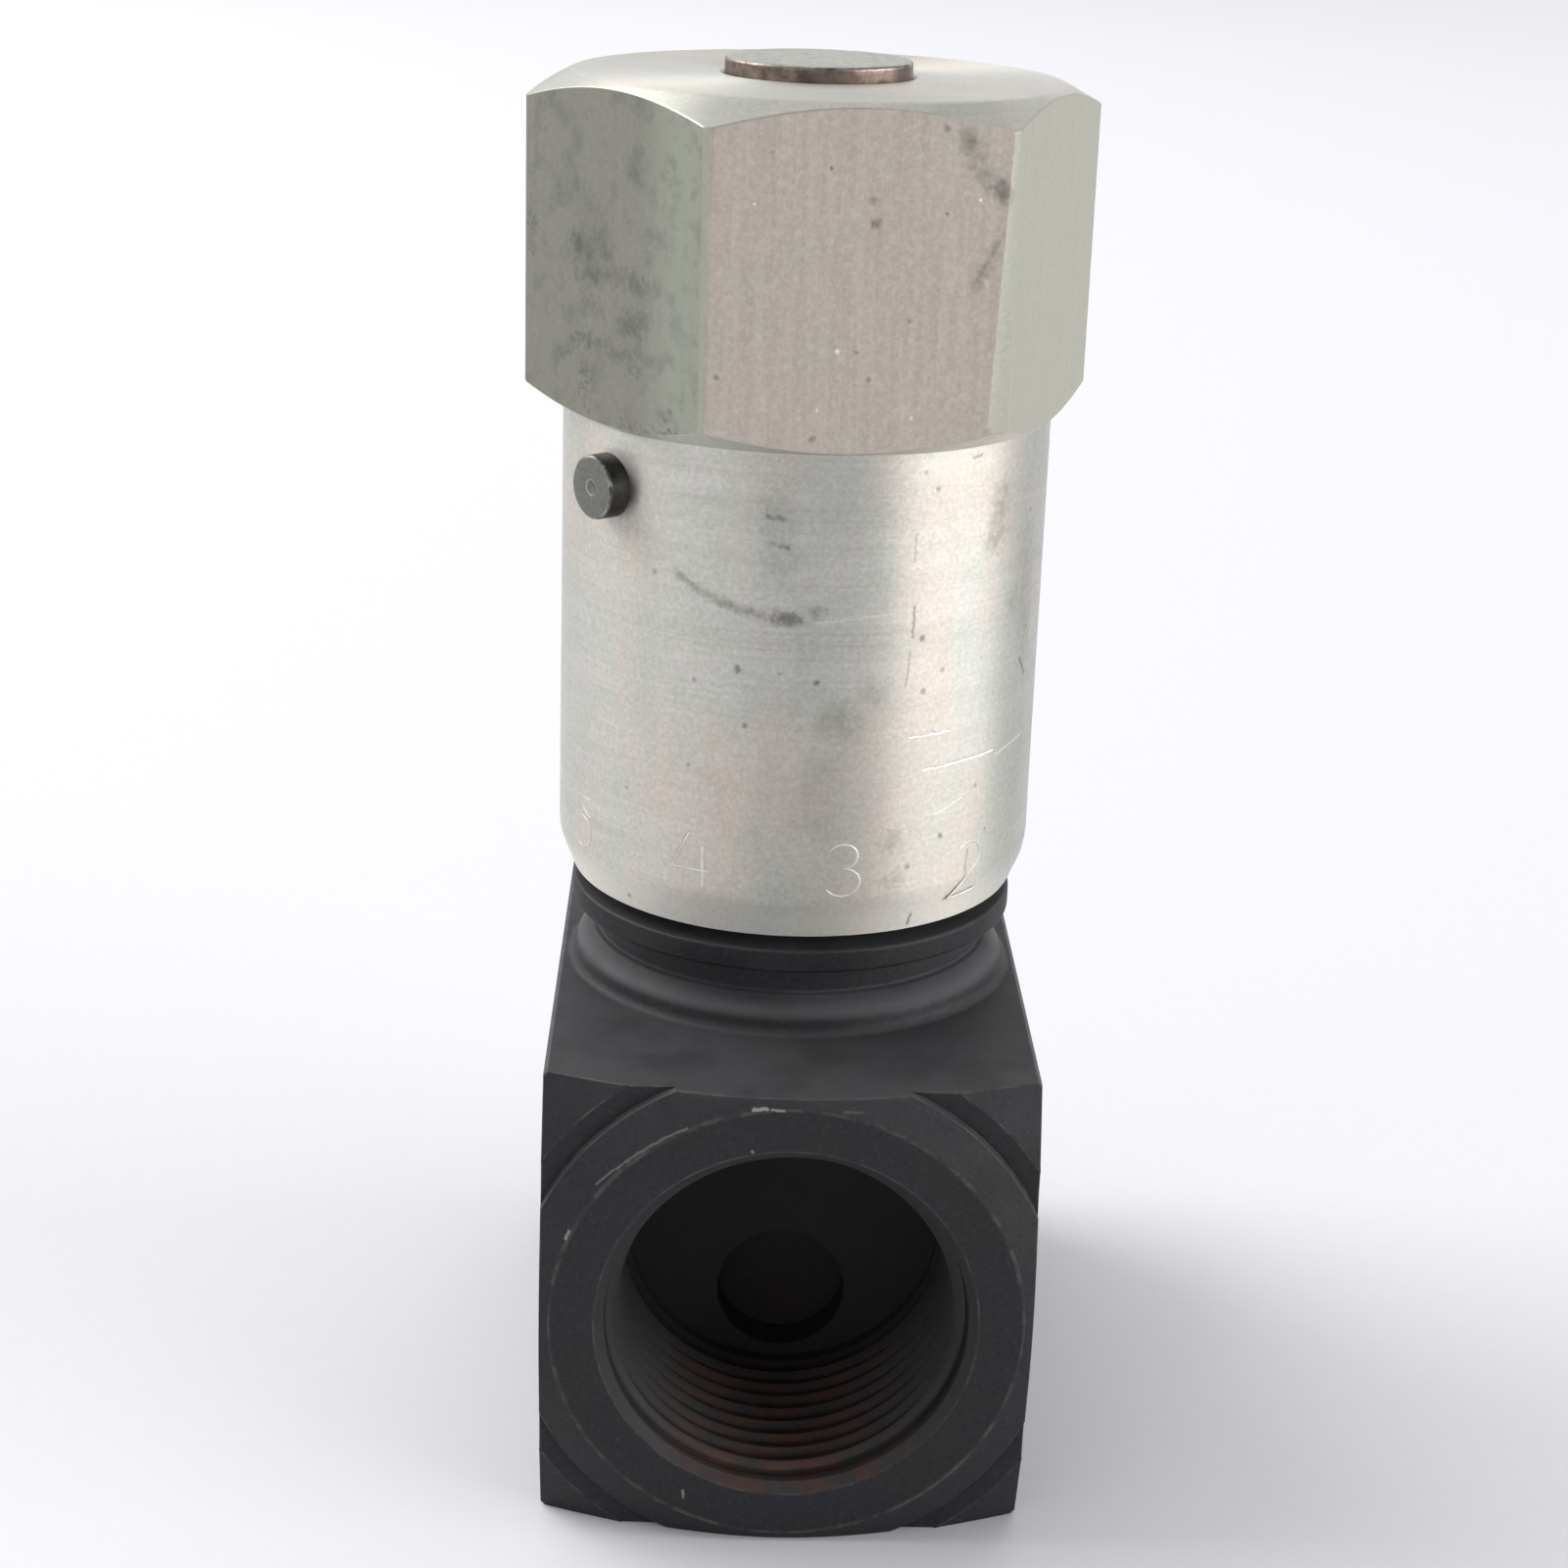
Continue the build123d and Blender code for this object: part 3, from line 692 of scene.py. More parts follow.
@dataclass(frozen=True)
class BlackOxideSteel:
    """Mild steel, machined and then chemically blackened.

    The eye gets a near-black with a faint blue, a soft sheen, and grey where handling has rubbed
    the edges.

    Attributes:
        port_axis: Height of the port axis, in mm.
        face: Distance from the body's middle to the face round each port, in mm.
        mouth_r: Radius inside which the port's thread lies, in mm.
        thread_end: Distance from the body's middle where the thread ends, in mm.
        name: Name of the finish.
        black: Main colour, as sRGB hex.
        worn: Colour of rubbed edges.
        oil: Colour of dried oil.
        roughness: Roughness where it is clean.
        highlight_in: Heights above the bar from where to where the painted highlight on the flare
            sets in, in mm.
        highlight_out: Heights above the bar from where to where that painted highlight thins out
            again, in mm.
        oil_down: Distances below the port axis from where to where oil has dried, in mm.
        oil_out: Distances to each side of it from where to where that ends, in mm.
        nicks_and_sheen: Bright nicked marks and a painted sheen line on the front face, across, up,
            in mm.
    """

    port_axis: float
    face: float
    mouth_r: float
    thread_end: float
    name: str = "black_oxide_steel"
    black: str = "#222225"
    worn: str = "#6b6964"
    oil: str = "#56362a"
    roughness: float = 0.56
    highlight_in: tuple[float, float] = (0.9, 1.6)
    highlight_out: tuple[float, float] = (2.2, 3.0)
    oil_down: tuple[float, float] = (5.0, 12.0)
    oil_out: tuple[float, float] = (6.0, 13.0)
    nicks_and_sheen: tuple[Mark, ...] = (
        Mark(((-3.6, 44.05), (-2.4, 44.15)), 0.2, 1.0),
        Mark(((-2.0, 44.1), (-0.9, 44.05)), 0.15, 0.7),
        Mark(((4.4, 44.0), (6.1, 43.9)), 0.12, 0.15),
        # A painted sheen line along the upper left of the face's rim.
        Mark(((-17.4, 36.3), (-16.2, 37.5), (-13.8, 39.5), (-11.4, 41.1), (-9.4, 42.1)), 0.14, 0.3),
        Mark(((-20.1, 30.9), (-19.8, 31.7)), 0.16, 0.6),
        Mark(((-9.0, 4.4), (-9.0, 5.2)), 0.15, 0.6),
        Mark(((-3.6, 40.0),), 0.2, 0.6),
    )

    def material(self) -> bpy.types.Material:
        """Builds the material.

        Returns:
            The material.
        """
        s = Surface.start(self.name)
        bar_top = 2 * self.port_axis
        x, y, z = s.place
        up = add(s.tree, "ShaderNodeMath", {0: z, 1: self.port_axis}, operation="SUBTRACT")
        radius, _ = s.from_axis(x, up)
        depth = add(s.tree, "ShaderNodeMath", {0: y}, operation="ABSOLUTE")
        # Facing marks run round the port axis on the ends, about as coarse as a lathe's feed, and
        # round the neck above the bar.
        ring_place = add(s.tree, "ShaderNodeCombineXYZ", {0: radius})
        rings = s.blotches(0.3, 0.3, 0.7, detail=2.0, on=ring_place)
        on_end = add(s.tree, "ShaderNodeMath", {0: s.facing[1]}, operation="ABSOLUTE")
        faced = add(s.tree, "ShaderNodeMath", {0: rings, 1: on_end}, operation="MULTIPLY")
        on_neck = add(s.tree, "ShaderNodeMath", {0: z, 1: bar_top + 0.05},
                      operation="GREATER_THAN")
        on_bar = add(s.tree, "ShaderNodeMath", {0: 1.0, 1: on_neck}, operation="SUBTRACT")
        grooves = s.blotches(0.35, 0.3, 0.7, detail=2.0, stretch=(0.01, 0.01, 1.0))
        necked = add(s.tree, "ShaderNodeMath", {0: grooves, 1: on_neck}, operation="MULTIPLY")
        # The bar was drawn along Y: long shallow lines on its four sides.
        lines = s.blotches(0.4, 0.35, 0.7, stretch=(1.0, 0.02, 1.0))
        drawn = add(s.tree, "ShaderNodeMath", {0: lines, 1: on_bar}, operation="MULTIPLY")
        grain = s.blotches(0.25, 0.3, 0.75, detail=2.0, shift=3.0)
        rubbed = s.blotches(1.8, 0.44, 0.6, detail=5.0, shift=11.0)
        in_front = add(s.tree, "ShaderNodeMath", {0: y, 1: 0.6 - self.face}, operation="LESS_THAN")
        nicks_and_sheen = add(s.tree, "ShaderNodeMath",
                    {0: s.strokes(x, z, self.nicks_and_sheen, ragged=0.16), 1: in_front},
                    operation="MULTIPLY")
        # What faces up is paler in patches, as pale dust with painted light from above; on the
        # flare of the neck a band of it is a painted highlight.
        upward = add(s.tree, "ShaderNodeMapRange", {0: s.facing[2], **ramp(0.3, 0.8)})
        on_flare = add(s.tree, "ShaderNodeMapRange",
                       {0: z, **ramp(*(bar_top + h for h in self.highlight_in))})
        low_on_it = add(s.tree, "ShaderNodeMapRange",
                        {0: z, **ramp(*(bar_top + h for h in self.highlight_out), 1.0, 0.15)})
        # Oil has dried brown low in the ports, and the bottom of the bore is painted dark, as
        # painted shade.
        inside = add(s.tree, "ShaderNodeMath", {0: radius, 1: self.mouth_r}, operation="LESS_THAN")
        low = add(s.tree, "ShaderNodeMapRange", {0: up, **ramp(*(-d for d in self.oil_down))})
        across = add(s.tree, "ShaderNodeMath", {0: x}, operation="ABSOLUTE")
        middle = add(s.tree, "ShaderNodeMapRange", {0: across, **ramp(*self.oil_out, 1.0, 0.0)})
        past_thread = add(s.tree, "ShaderNodeMath", {0: depth, 1: self.thread_end + 0.2},
                          operation="LESS_THAN")
        behind = add(s.tree, "ShaderNodeMath", {0: past_thread, 1: inside}, operation="MULTIPLY")
        # Cool and brown patches, dark and pale grain, rubbed edges, dust with painted light from
        # above, the painted highlight on the flare, bright nicked marks and a painted sheen line,
        # then the ports with painted shade at the bottom of the bore.
        colour = s.painted(
            self.black,
            Layer("#232329", 0.8, (s.blotches(11.0, 0.4, 0.62),)),
            Layer("#24231f", 0.7, (s.blotches(8.0, 0.48, 0.66, shift=31.0),)),
            Layer("#121214", 0.6, (s.blotches(0.5, 0.45, 0.75, shift=7.0),)),
            Layer("#434241", 0.35, (s.blotches(0.35, 0.56, 0.8, shift=17.0),)),
            Layer(self.worn, 0.36, (s.wear, rubbed, on_bar)),
            Layer(self.worn, 0.08, (s.wear, on_bar)),
            # Pale dust with painted light from above, on what faces up.
            Layer("#5c5c5e", 0.42, (upward, s.blotches(7.0, 0.05, 0.5, detail=5.0, shift=37.0))),
            # Painted highlight in a band round the flare of the neck.
            Layer("#6a6a6c", 0.55, (upward, on_flare, low_on_it)),
            Layer("#a7a59e", 0.8, (nicks_and_sheen,)),
            Layer("#302e2e", 0.6, (inside,)),
            Layer(self.oil, 0.55, (inside, low, middle, s.blotches(2.2, 0.36, 0.6, shift=5.0))),
            # Painted shade at the bottom of the bore.
            Layer("#292625", 0.9, (behind,)),
        )
        rough = s.summed(self.roughness, (s.blotches(4.0, 0.35, 0.7, shift=2.0), 0.08),
                         (s.wear, -0.08), (behind, 0.3))
        metal = s.summed(0.0, (nicks_and_sheen, 0.5))
        return s.finished(Base_Color=colour, Metallic=metal, Roughness=rough,
                          Specular_IOR_Level=0.25,
                          Normal=s.relief((faced, 0.006), (necked, 0.008), (drawn, 0.004),
                                          (grain, 0.006)))


# Marks on the skirt, by azimuth in degrees and height in mm
SKIRT_SMEARS = (
    Mark(((-120.7, 88.7), (-116.0, 87.6), (-109.5, 86.6)), 0.55, 0.5),
    Mark(((-109.5, 86.6), (-103.4, 85.95), (-98.0, 85.7)), 0.7, 0.65),
    Mark(((-98.5, 85.6), (-92.6, 85.5)), 0.95, 0.9),
    Mark(((-99.2, 94.6), (-96.0, 94.5)), 0.3, 0.6),
    Mark(((-98.2, 92.2), (-94.8, 92.0)), 0.3, 0.6),
    *spots((-88.2, 86.2, 0.75, 0.8), (-86.0, 86.3, 0.45, 0.5)),
)
SKIRT_SPECKS = (
    *spots((-105.2, 80.6, 0.5, 1.0), (-103.2, 75.4, 0.4, 0.8), (-87.4, 79.7, 0.4, 1.0),
           (-115.5, 79.1, 0.3, 0.6), (-95.7, 80.5, 0.3, 0.6), (-62.9, 83.4, 0.42, 1.0),
           (-61.9, 78.4, 0.42, 0.8), (-57.0, 80.2, 0.34, 0.7), (-60.6, 96.9, 0.4, 0.7),
           (-63.9, 98.5, 0.34, 0.6), (-55.2, 64.2, 0.4, 1.0), (-64.0, 61.7, 0.36, 0.8),
           (-134.5, 56.4, 0.4, 0.8), (-126.6, 88.3, 0.36, 0.7), (-44.5, 68.2, 0.34, 0.7),
           (-134.0, 67.3, 0.3, 0.6), (-58.6, 74.3, 0.3, 0.5)),
    Mark(((-65.2, 86.4), (-65.4, 83.6)), 0.2, 0.8),
    Mark(((-65.5, 93.0), (-65.8, 90.6)), 0.2, 0.4),
    Mark(((-65.7, 82.4), (-66.5, 79.1)), 0.18, 0.5),
    Mark(((-27.5, 78.9), (-24.2, 77.2)), 0.28, 0.9),
    Mark(((-61.3, 56.7), (-61.4, 55.6)), 0.24, 0.9),
    Mark(((-50.8, 99.3), (-48.4, 99.5)), 0.26, 0.7),
    Mark(((-46.0, 62.0), (-46.6, 59.4), (-52.1, 57.6)), 0.2, 0.6),
    Mark(((-116.0, 64.6), (-120.3, 61.3)), 0.2, 0.55),
)
SKIRT_STAINS = (
    *spots((-68.6, 64.3, 1.6, 0.8), (-67.3, 60.6, 1.6, 0.6), (-73.9, 78.7, 1.8, 0.7),
           (-81.7, 76.0, 2.8, 0.8), (-32.5, 85.2, 1.8, 0.7)),
    Mark(((-42.1, 91.5), (-40.0, 95.5)), 2.0, 0.9),
    Mark(((-28.0, 90.0), (-26.0, 80.0)), 2.4, 0.5),
    Mark(((-97.5, 95.5), (-96.5, 90.5)), 2.2, 0.35),
    Mark(((-140.0, 92.0), (-128.0, 90.5)), 2.6, 0.3),
    Mark(((-88.0, 66.0), (-84.0, 72.0)), 2.6, 0.35),
)
SKIRT_SCRATCHES = (
    Mark(((-60.9, 70.9), (-50.3, 71.1), (-38.3, 71.1)), 0.13, 0.85),
    Mark(((-37.5, 70.6), (-31.3, 70.9), (-23.2, 71.2)), 0.12, 0.6),
    Mark(((-64.8, 74.2), (-53.9, 74.3)), 0.13, 0.6),
    Mark(((-151.4, 63.3), (-148.5, 62.8)), 0.2, 0.8),
    Mark(((-88.4, 85.2), (-70.0, 86.0)), 0.1, 0.3),
    Mark(((-57.0, 66.4), (-49.0, 67.5)), 0.1, 0.4),
)


@dataclass(frozen=True)
class TurnedAluminium:
    """Bare aluminium off the lathe, handled for years.

    The eye gets a pale warm grey, feed lines that run round the axis and draw each reflection out
    along it, small dark pits, and a few stains and scratches.

    Attributes:
        radius: Radius of the skirt, in mm.
        rim_z: Height of the knob's rim, in mm.
        hex_z: Height of the hexagon's foot, where the skirt ends, in mm.
        bare: Main colour, as sRGB hex.
        roughness: Roughness where it is clean.
        line_pitch: Distance between feed lines, in mm.
    """

    radius: float
    rim_z: float
    hex_z: float
    bare: str = "#c7c4bd"
    roughness: float = 0.42
    # Real feed lines are about 0.1 mm apart; they are drawn coarser so that they show.
    line_pitch: float = 0.34

    def material(self) -> bpy.types.Material:
        """Builds the material.

        Returns:
            The material.
        """
        s = Surface.start("turned_aluminium")
        x, y, z = s.place
        radius, azimuth = s.from_axis(x, y)
        along = add(s.tree, "ShaderNodeMath", {0: azimuth, 1: self.radius}, operation="MULTIPLY")
        # Constant round each circle, on the skirt, the cones and the flat top alike.
        feed = add(s.tree, "ShaderNodeMath", {0: radius, 1: 1.3, 2: z}, operation="MULTIPLY_ADD")
        wound = add(s.tree, "ShaderNodeCombineXYZ", {0: along, 2: feed})
        fine = s.blotches(self.line_pitch, 0.32, 0.68, stretch=(0.02, 1.0, 1.0), on=wound)
        broad = s.blotches(2.2, 0.36, 0.64, stretch=(0.03, 1.0, 1.0), shift=4.0, on=wound)
        mottle = s.blotches(5.0, 0.38, 0.66, detail=4.0, shift=21.0)
        hazy = s.blotches(9.0, 0.44, 0.6, detail=2.0, stretch=(1.0, 1.0, 0.3), shift=27.0)
        tinged = s.blotches(8.0, 0.48, 0.64, detail=2.0, stretch=(1.0, 1.0, 0.25), shift=83.0)
        # The bevel at the rim was left rougher than the skirt, and is painted paler as a painted
        # reflection of the pale floor below it.
        bevel = add(s.tree, "ShaderNodeMapRange",
                    {0: z, **ramp(self.rim_z + 2.1, self.rim_z + 4.1, 1.0, 0.0)})
        grain = s.blotches(0.4, 0.35, 0.7, detail=2.0, shift=41.0)
        # The top is painted paler, as painted light from above.
        on_top = add(s.tree, "ShaderNodeMapRange", {0: s.facing[2], **ramp(0.7, 0.95)})
        on_skirt = add(s.tree, "ShaderNodeMath", {0: z, 1: self.hex_z - 0.1},
                       operation="LESS_THAN")
        smears = s.strokes(along, z, unrolled(SKIRT_SMEARS, self.radius), ragged=0.4)
        specks = s.strokes(along, z, unrolled(SKIRT_SPECKS, self.radius), ragged=0.22)
        stains = s.strokes(along, z, unrolled(SKIRT_STAINS, self.radius), ragged=1.3)
        scratches = s.strokes(along, z, unrolled(SKIRT_SCRATCHES, self.radius), ragged=0.2)
        patchy = s.blotches(0.9, 0.3, 0.6, detail=4.0, shift=51.0)
        pits = s.pits(3.4, 0.24, 0.14)
        # Feed lines, tinted patches, grain, the painted reflection on the bevel and painted light
        # on the top, then marks and worn edges.
        colour = s.painted(
            self.bare,
            Layer("#9d9b93", 0.45, (fine,)),
            Layer("#d2d0ca", 0.4, (broad,)),
            Layer("#bbbfb6", 0.6, (mottle,)),
            Layer("#ccbdb1", 0.6, (hazy,)),
            Layer("#b4bab0", 0.5, (tinged,)),
            Layer("#918e84", 0.24, (grain,)),
            Layer("#e6e5de", 0.2, (s.blotches(0.5, 0.52, 0.72, detail=4.0, shift=47.0),)),
            # Painted reflection of the pale floor on the bevel.
            Layer("#e0dfd9", 0.5, (bevel,)),
            # Painted light from above on the top.
            Layer("#f2f0e8", 0.2, (on_top,)),
            Layer("#8f9184", 0.55, (stains, patchy, on_skirt)),
            Layer("#6f6b61", 0.75, (smears, patchy, on_skirt)),
            Layer("#58544c", 0.62, (specks, on_skirt)),
            Layer("#55524a", 0.5, (pits,)),
            Layer("#f4f3ec", 0.75, (scratches, on_skirt)),
            Layer("#dcdbd3", 0.5, (s.wear, patchy)),
        )
        rough = s.summed(self.roughness, (mottle, 0.05), (smears, 0.15), (stains, 0.12),
                         (grain, 0.05), (scratches, -0.1), (bevel, 0.28))
        return s.finished(Base_Color=colour, Metallic=1.0, Roughness=rough, Anisotropic=0.72,
                          Anisotropic_Rotation=0.25,
                          Normal=s.relief((fine, 0.005), (grain, 0.004), (pits, -0.04),
                                          (scratches, -0.03)))


# Marks on the hexagon's faces, by place along the face and height, both in mm
FRONT_FACE_SPOTS = (
    *spots((1.0, 122.2, 0.5, 0.5), (1.3, 120.2, 0.65, 0.75), (12.4, 122.3, 0.75, 0.95),
           (12.0, 123.2, 1.0, 0.4), (11.7, 118.6, 0.5, 0.8), (7.0, 128.2, 0.45, 0.6),
           (7.4, 121.1, 0.3, 0.6), (0.0, 109.3, 0.3, 0.5), (-12.0, 107.2, 0.36, 0.7),
           (-3.5, 101.8, 0.36, 0.8), (1.2, 106.9, 0.3, 0.5), (12.1, 102.3, 0.5, 0.8),
           (-7.7, 126.1, 0.26, 0.5), (4.6, 112.0, 0.24, 0.4)),
    Mark(((11.6, 117.9), (10.2, 115.4)), 0.24, 0.35),
)
FRONT_FACE_FLECKS = spots(
    (-1.6, 109.4, 0.3, 0.9), (10.2, 122.3, 0.22, 0.8), (-9.1, 121.8, 0.18, 0.7),
    (5.1, 103.6, 0.2, 0.6), (-3.2, 104.3, 0.2, 0.6))
FRONT_FACE_SMEARS = (
    Mark(((8.9, 127.4), (10.0, 125.6), (10.9, 124.2), (12.3, 122.6)), 1.3, 0.9),
    Mark(((11.9, 119.4), (11.3, 117.0), (9.9, 115.0)), 0.9, 0.6),
)
LEFT_FACE_SMUDGES = (
    Mark(((-4.6, 113.6), (0.7, 114.0), (5.2, 113.2)), 1.3, 0.75),
    Mark(((-4.5, 116.0), (-1.0, 115.4)), 2.0, 0.8),
    Mark(((1.9, 109.7), (4.6, 110.6)), 1.7, 0.75),
    Mark(((-1.6, 110.8), (-3.4, 111.6)), 1.2, 0.5),
    Mark(((-7.4, 106.1), (-3.9, 107.7), (-0.3, 107.6), (4.3, 106.2)), 0.9, 0.75),
    Mark(((2.1, 100.9), (5.0, 100.7), (10.0, 101.4)), 0.5, 0.9),
    Mark(((-11.8, 118.6), (-11.8, 114.8)), 0.7, 0.6),
    Mark(((-7.0, 121.0), (-2.0, 118.5)), 2.4, 0.4),
    *spots((-3.2, 105.0, 1.5, 0.85), (-3.8, 102.9, 0.7, 0.8), (-3.2, 101.0, 0.5, 0.8),
           (8.9, 102.7, 0.7, 0.8), (3.8, 123.6, 2.2, 0.35)),
)


@dataclass(frozen=True)
class DrawnAluminium:
    """Hexagon bar as it was drawn, never machined.

    The eye gets a matt face without a clear reflection: warm grey in front, greener and dirtier to
    the left, with dark handling smudges, pits and a fine grain.

    Attributes:
        apothem: Distance from the axis to a face, in mm.
        first_face_deg: Azimuth of the left face, from which the faces are counted.
        warm: Colour in front, as sRGB hex.
        left_tone: Colour towards the left.
        right_tone: Colour towards the right.
        roughness: Roughness where it is clean.
    """

    apothem: float
    first_face_deg: float
    warm: str = "#b6aca3"
    left_tone: str = "#7b7e73"
    right_tone: str = "#acafa3"
    roughness: float = 0.55

    def face_place(self, s: Surface, number: int) -> tuple[Value, Value]:
        """Finds where a point lies on one of the hexagon's sides.

        Args:
            s: The material under way.
            number: Number of the side, counted from the first one.

        Returns:
            Its place along the side in mm, and a mask that is full on that side alone.
        """
        azimuth = math.radians(self.first_face_deg + 360.0 / 6 * number)
        out = (math.cos(azimuth), math.sin(azimuth), 0.0)
        along = add(s.tree, "ShaderNodeVectorMath", {0: s.mm, 1: (-out[1], out[0], 0.0)},
                    operation="DOT_PRODUCT")
        reach = add(s.tree, "ShaderNodeVectorMath", {0: s.mm, 1: out}, operation="DOT_PRODUCT")
        here = add(s.tree, "ShaderNodeMath", {0: reach, 1: self.apothem - 0.3},
                   operation="GREATER_THAN")
        return along, here

    def material(self) -> bpy.types.Material:
        """Builds the material.

        Returns:
            The material.
        """
        s = Surface.start("drawn_aluminium")
        z = s.place[2]
        to_left = add(s.tree, "ShaderNodeMapRange", {0: s.facing[0], **ramp(-0.4, -0.7)})
        to_right = add(s.tree, "ShaderNodeMapRange", {0: s.facing[0], **ramp(0.3, 0.65)})
        front_along, front = self.face_place(s, 1)
        left_along, left = self.face_place(s, 0)
        # The left face is cleaner towards the front, and the worn edge on the right is darkened
        # with painted shade that damps its bright reflection.
        near_front = add(s.tree, "ShaderNodeMapRange", {0: left_along, **ramp(4.0, 9.0)})
        edge_shade = add(s.tree, "ShaderNodeMapRange", {0: s.facing[0], **ramp(0.7, 0.88, 1.0, 0.0)})
        grain = s.blotches(0.42, 0.32, 0.7)
        speckle = s.blotches(0.8, 0.5, 0.75, detail=4.0, shift=61.0)
        streaks = s.blotches(0.8, 0.35, 0.65, stretch=(1.0, 1.0, 0.05), shift=6.0)
        cloud = s.blotches(6.0, 0.4, 0.62, detail=4.0, shift=13.0)
        patchy = s.blotches(0.9, 0.25, 0.6, detail=4.0, shift=15.0)
        dirty = s.blotches(2.4, 0.5, 0.66, detail=5.0, shift=71.0)
        spots = s.strokes(front_along, z, FRONT_FACE_SPOTS, ragged=0.3)
        flecks = s.strokes(front_along, z, FRONT_FACE_FLECKS, ragged=0.1)
        smears = s.strokes(front_along, z, FRONT_FACE_SMEARS, ragged=0.9)
        smudges = s.strokes(left_along, z, LEFT_FACE_SMUDGES, ragged=1.9)
        broken = s.blotches(1.5, 0.36, 0.66, detail=6.0, shift=17.0)
        pits = s.pits(4.6, 0.26, 0.16, shift=9.0)
        # Grain and streaks, the tone of each side, painted shade on the right edge, dirt, then
        # marks and worn edges.
        colour = s.painted(
            self.warm,
            Layer("#b0aba0", 0.35, (cloud,)),
            Layer("#8f897f", 0.28, (grain,)),
            Layer("#cdc8be", 0.2, (streaks,)),
            Layer("#e0dcd2", 0.2, (speckle,)),
            Layer(self.left_tone, 0.74, (to_left,)),
            Layer(self.right_tone, 0.62, (to_right,)),
            # Painted shade on the worn edge at the right.
            Layer("#84857b", 0.55, (to_right, edge_shade)),
            Layer("#a3a89a", 0.6, (left, near_front)),
            Layer("#666a60", 0.34, (to_left, dirty)),
            Layer("#5a5f55", 0.66, (smudges, left, broken)),
            Layer("#5b554e", 0.6, (smears, front, broken)),
            Layer("#4b4741", 0.8, (spots, front, patchy)),
            Layer("#f3f1ec", 0.8, (flecks, front)),
            Layer("#4d4a43", 0.55, (pits,)),
            Layer("#a8a99e", 0.4, (s.wear,)),
        )
        rough = s.summed(self.roughness, (grain, 0.06), (smudges, 0.1), (s.wear, 0.05))
        return s.finished(Base_Color=colour, Metallic=1.0, Roughness=rough,
                          Normal=s.relief((grain, 0.012), (streaks, 0.004), (pits, -0.05)))


@dataclass(frozen=True)
class TarnishedSteel:
    """Free-cutting steel, turned and left bare, so that it has tarnished.

    The eye gets a brown-grey gleam on the side and a lighter, cleaner face where it was ground.

    Attributes:
        name: Name of the finish.
        side: Colour round the side, as sRGB hex.
        side_stain: Colour of the stains on it.
        face: Colour of the end face.
        axis: Direction that the end faces.
        roughness: Roughness of the side.
    """

    name: str
    side: str
    side_stain: str
    face: str
    axis: tuple[float, float, float]
    roughness: float

    def material(self) -> bpy.types.Material:
        """Builds the material.

        Returns:
            The material.
        """
        s = Surface.start(self.name)
        toward = add(s.tree, "ShaderNodeCombineXYZ", dict(enumerate(s.facing)))
        ahead = add(s.tree, "ShaderNodeVectorMath", {0: toward, 1: self.axis},
                    operation="DOT_PRODUCT")
        on_face = add(s.tree, "ShaderNodeMapRange", {0: ahead, **ramp(0.8, 0.97)})
        stain = s.blotches(1.6, 0.4, 0.64, detail=5.0)
        grain = s.blotches(0.3, 0.35, 0.7, detail=2.0, shift=5.0)
        colour = s.painted(
            self.side,
            Layer(self.side_stain, 0.8, (stain,)),
            Layer(self.face, 0.95, (on_face,)),
            Layer("#7b776f", 0.3, (on_face, s.blotches(1.1, 0.46, 0.62, detail=4.0, shift=9.0))),
            Layer("#3c3934", 0.25, (grain,)),
            Layer("#d5d3cc", 0.6, (s.wear, s.blotches(1.2, 0.35, 0.6, shift=19.0))),
        )
        rough = s.summed(self.roughness, (on_face, 0.1), (grain, 0.08))
        return s.finished(Base_Color=colour, Metallic=1.0, Roughness=rough,
                          Normal=s.relief((grain, 0.005)))


@dataclass(frozen=True)
class CleanMetal:
    """Metal inside the valve, wet with oil and never handled: even, with fine tool lines.

    Attributes:
        name: Name of the finish.
        bare: Colour of the clean metal, as sRGB hex.
        stain: Colour of its stains.
        roughness: Roughness.
        grain_size: Size of the tool's grain, in mm.
    """

    name: str
    bare: str
    stain: str
    roughness: float
    grain_size: float = 0.25

    def material(self) -> bpy.types.Material:
        """Builds the material.

        Returns:
            The material.
        """
        s = Surface.start(self.name)
        lines = s.blotches(self.grain_size, 0.3, 0.7, detail=1.0, stretch=(0.2, 0.2, 1.0))
        patches = s.blotches(2.5, 0.42, 0.68, detail=5.0)
        colour = s.painted(self.bare, Layer(self.stain, 0.7, (patches,)),
                           Layer(self.stain, 0.25, (lines,)))
        return s.finished(Base_Color=colour, Metallic=1.0, Normal=s.relief((lines, 0.004)),
                          Roughness=s.summed(self.roughness, (lines, 0.1)))


@dataclass(frozen=True)
class Moulded:
    """Moulded rubber or plastic: even colour and a soft sheen, with a faint bloom.

    Attributes:
        name: Name of the finish.
        body: Main colour, as sRGB hex.
        bloom: Colour of the bloom.
        roughness: Roughness.
        ior: Index of refraction.
    """

    name: str
    body: str
    bloom: str
    roughness: float
    ior: float

    def material(self) -> bpy.types.Material:
        """Builds the material.

        Returns:
            The material.
        """
        s = Surface.start(self.name)
        bloom = s.blotches(1.2, 0.4, 0.75, detail=4.0)
        return s.finished(Base_Color=s.painted(self.body, Layer(self.bloom, 0.5, (bloom,))),
                          Roughness=s.summed(self.roughness, (bloom, 0.1)), IOR=self.ior,
                          Normal=s.relief((bloom, 0.01)))


# Sub-assemblies


def dress(piece: bpy.types.Object, *materials: bpy.types.Material) -> bpy.types.Object:
    """Gives a piece its materials in order.

    Args:
        piece: The piece.
        materials: Its materials.

    Returns:
        The same piece.
    """
    for material in materials:
        piece.data.materials.append(material)
    return piece


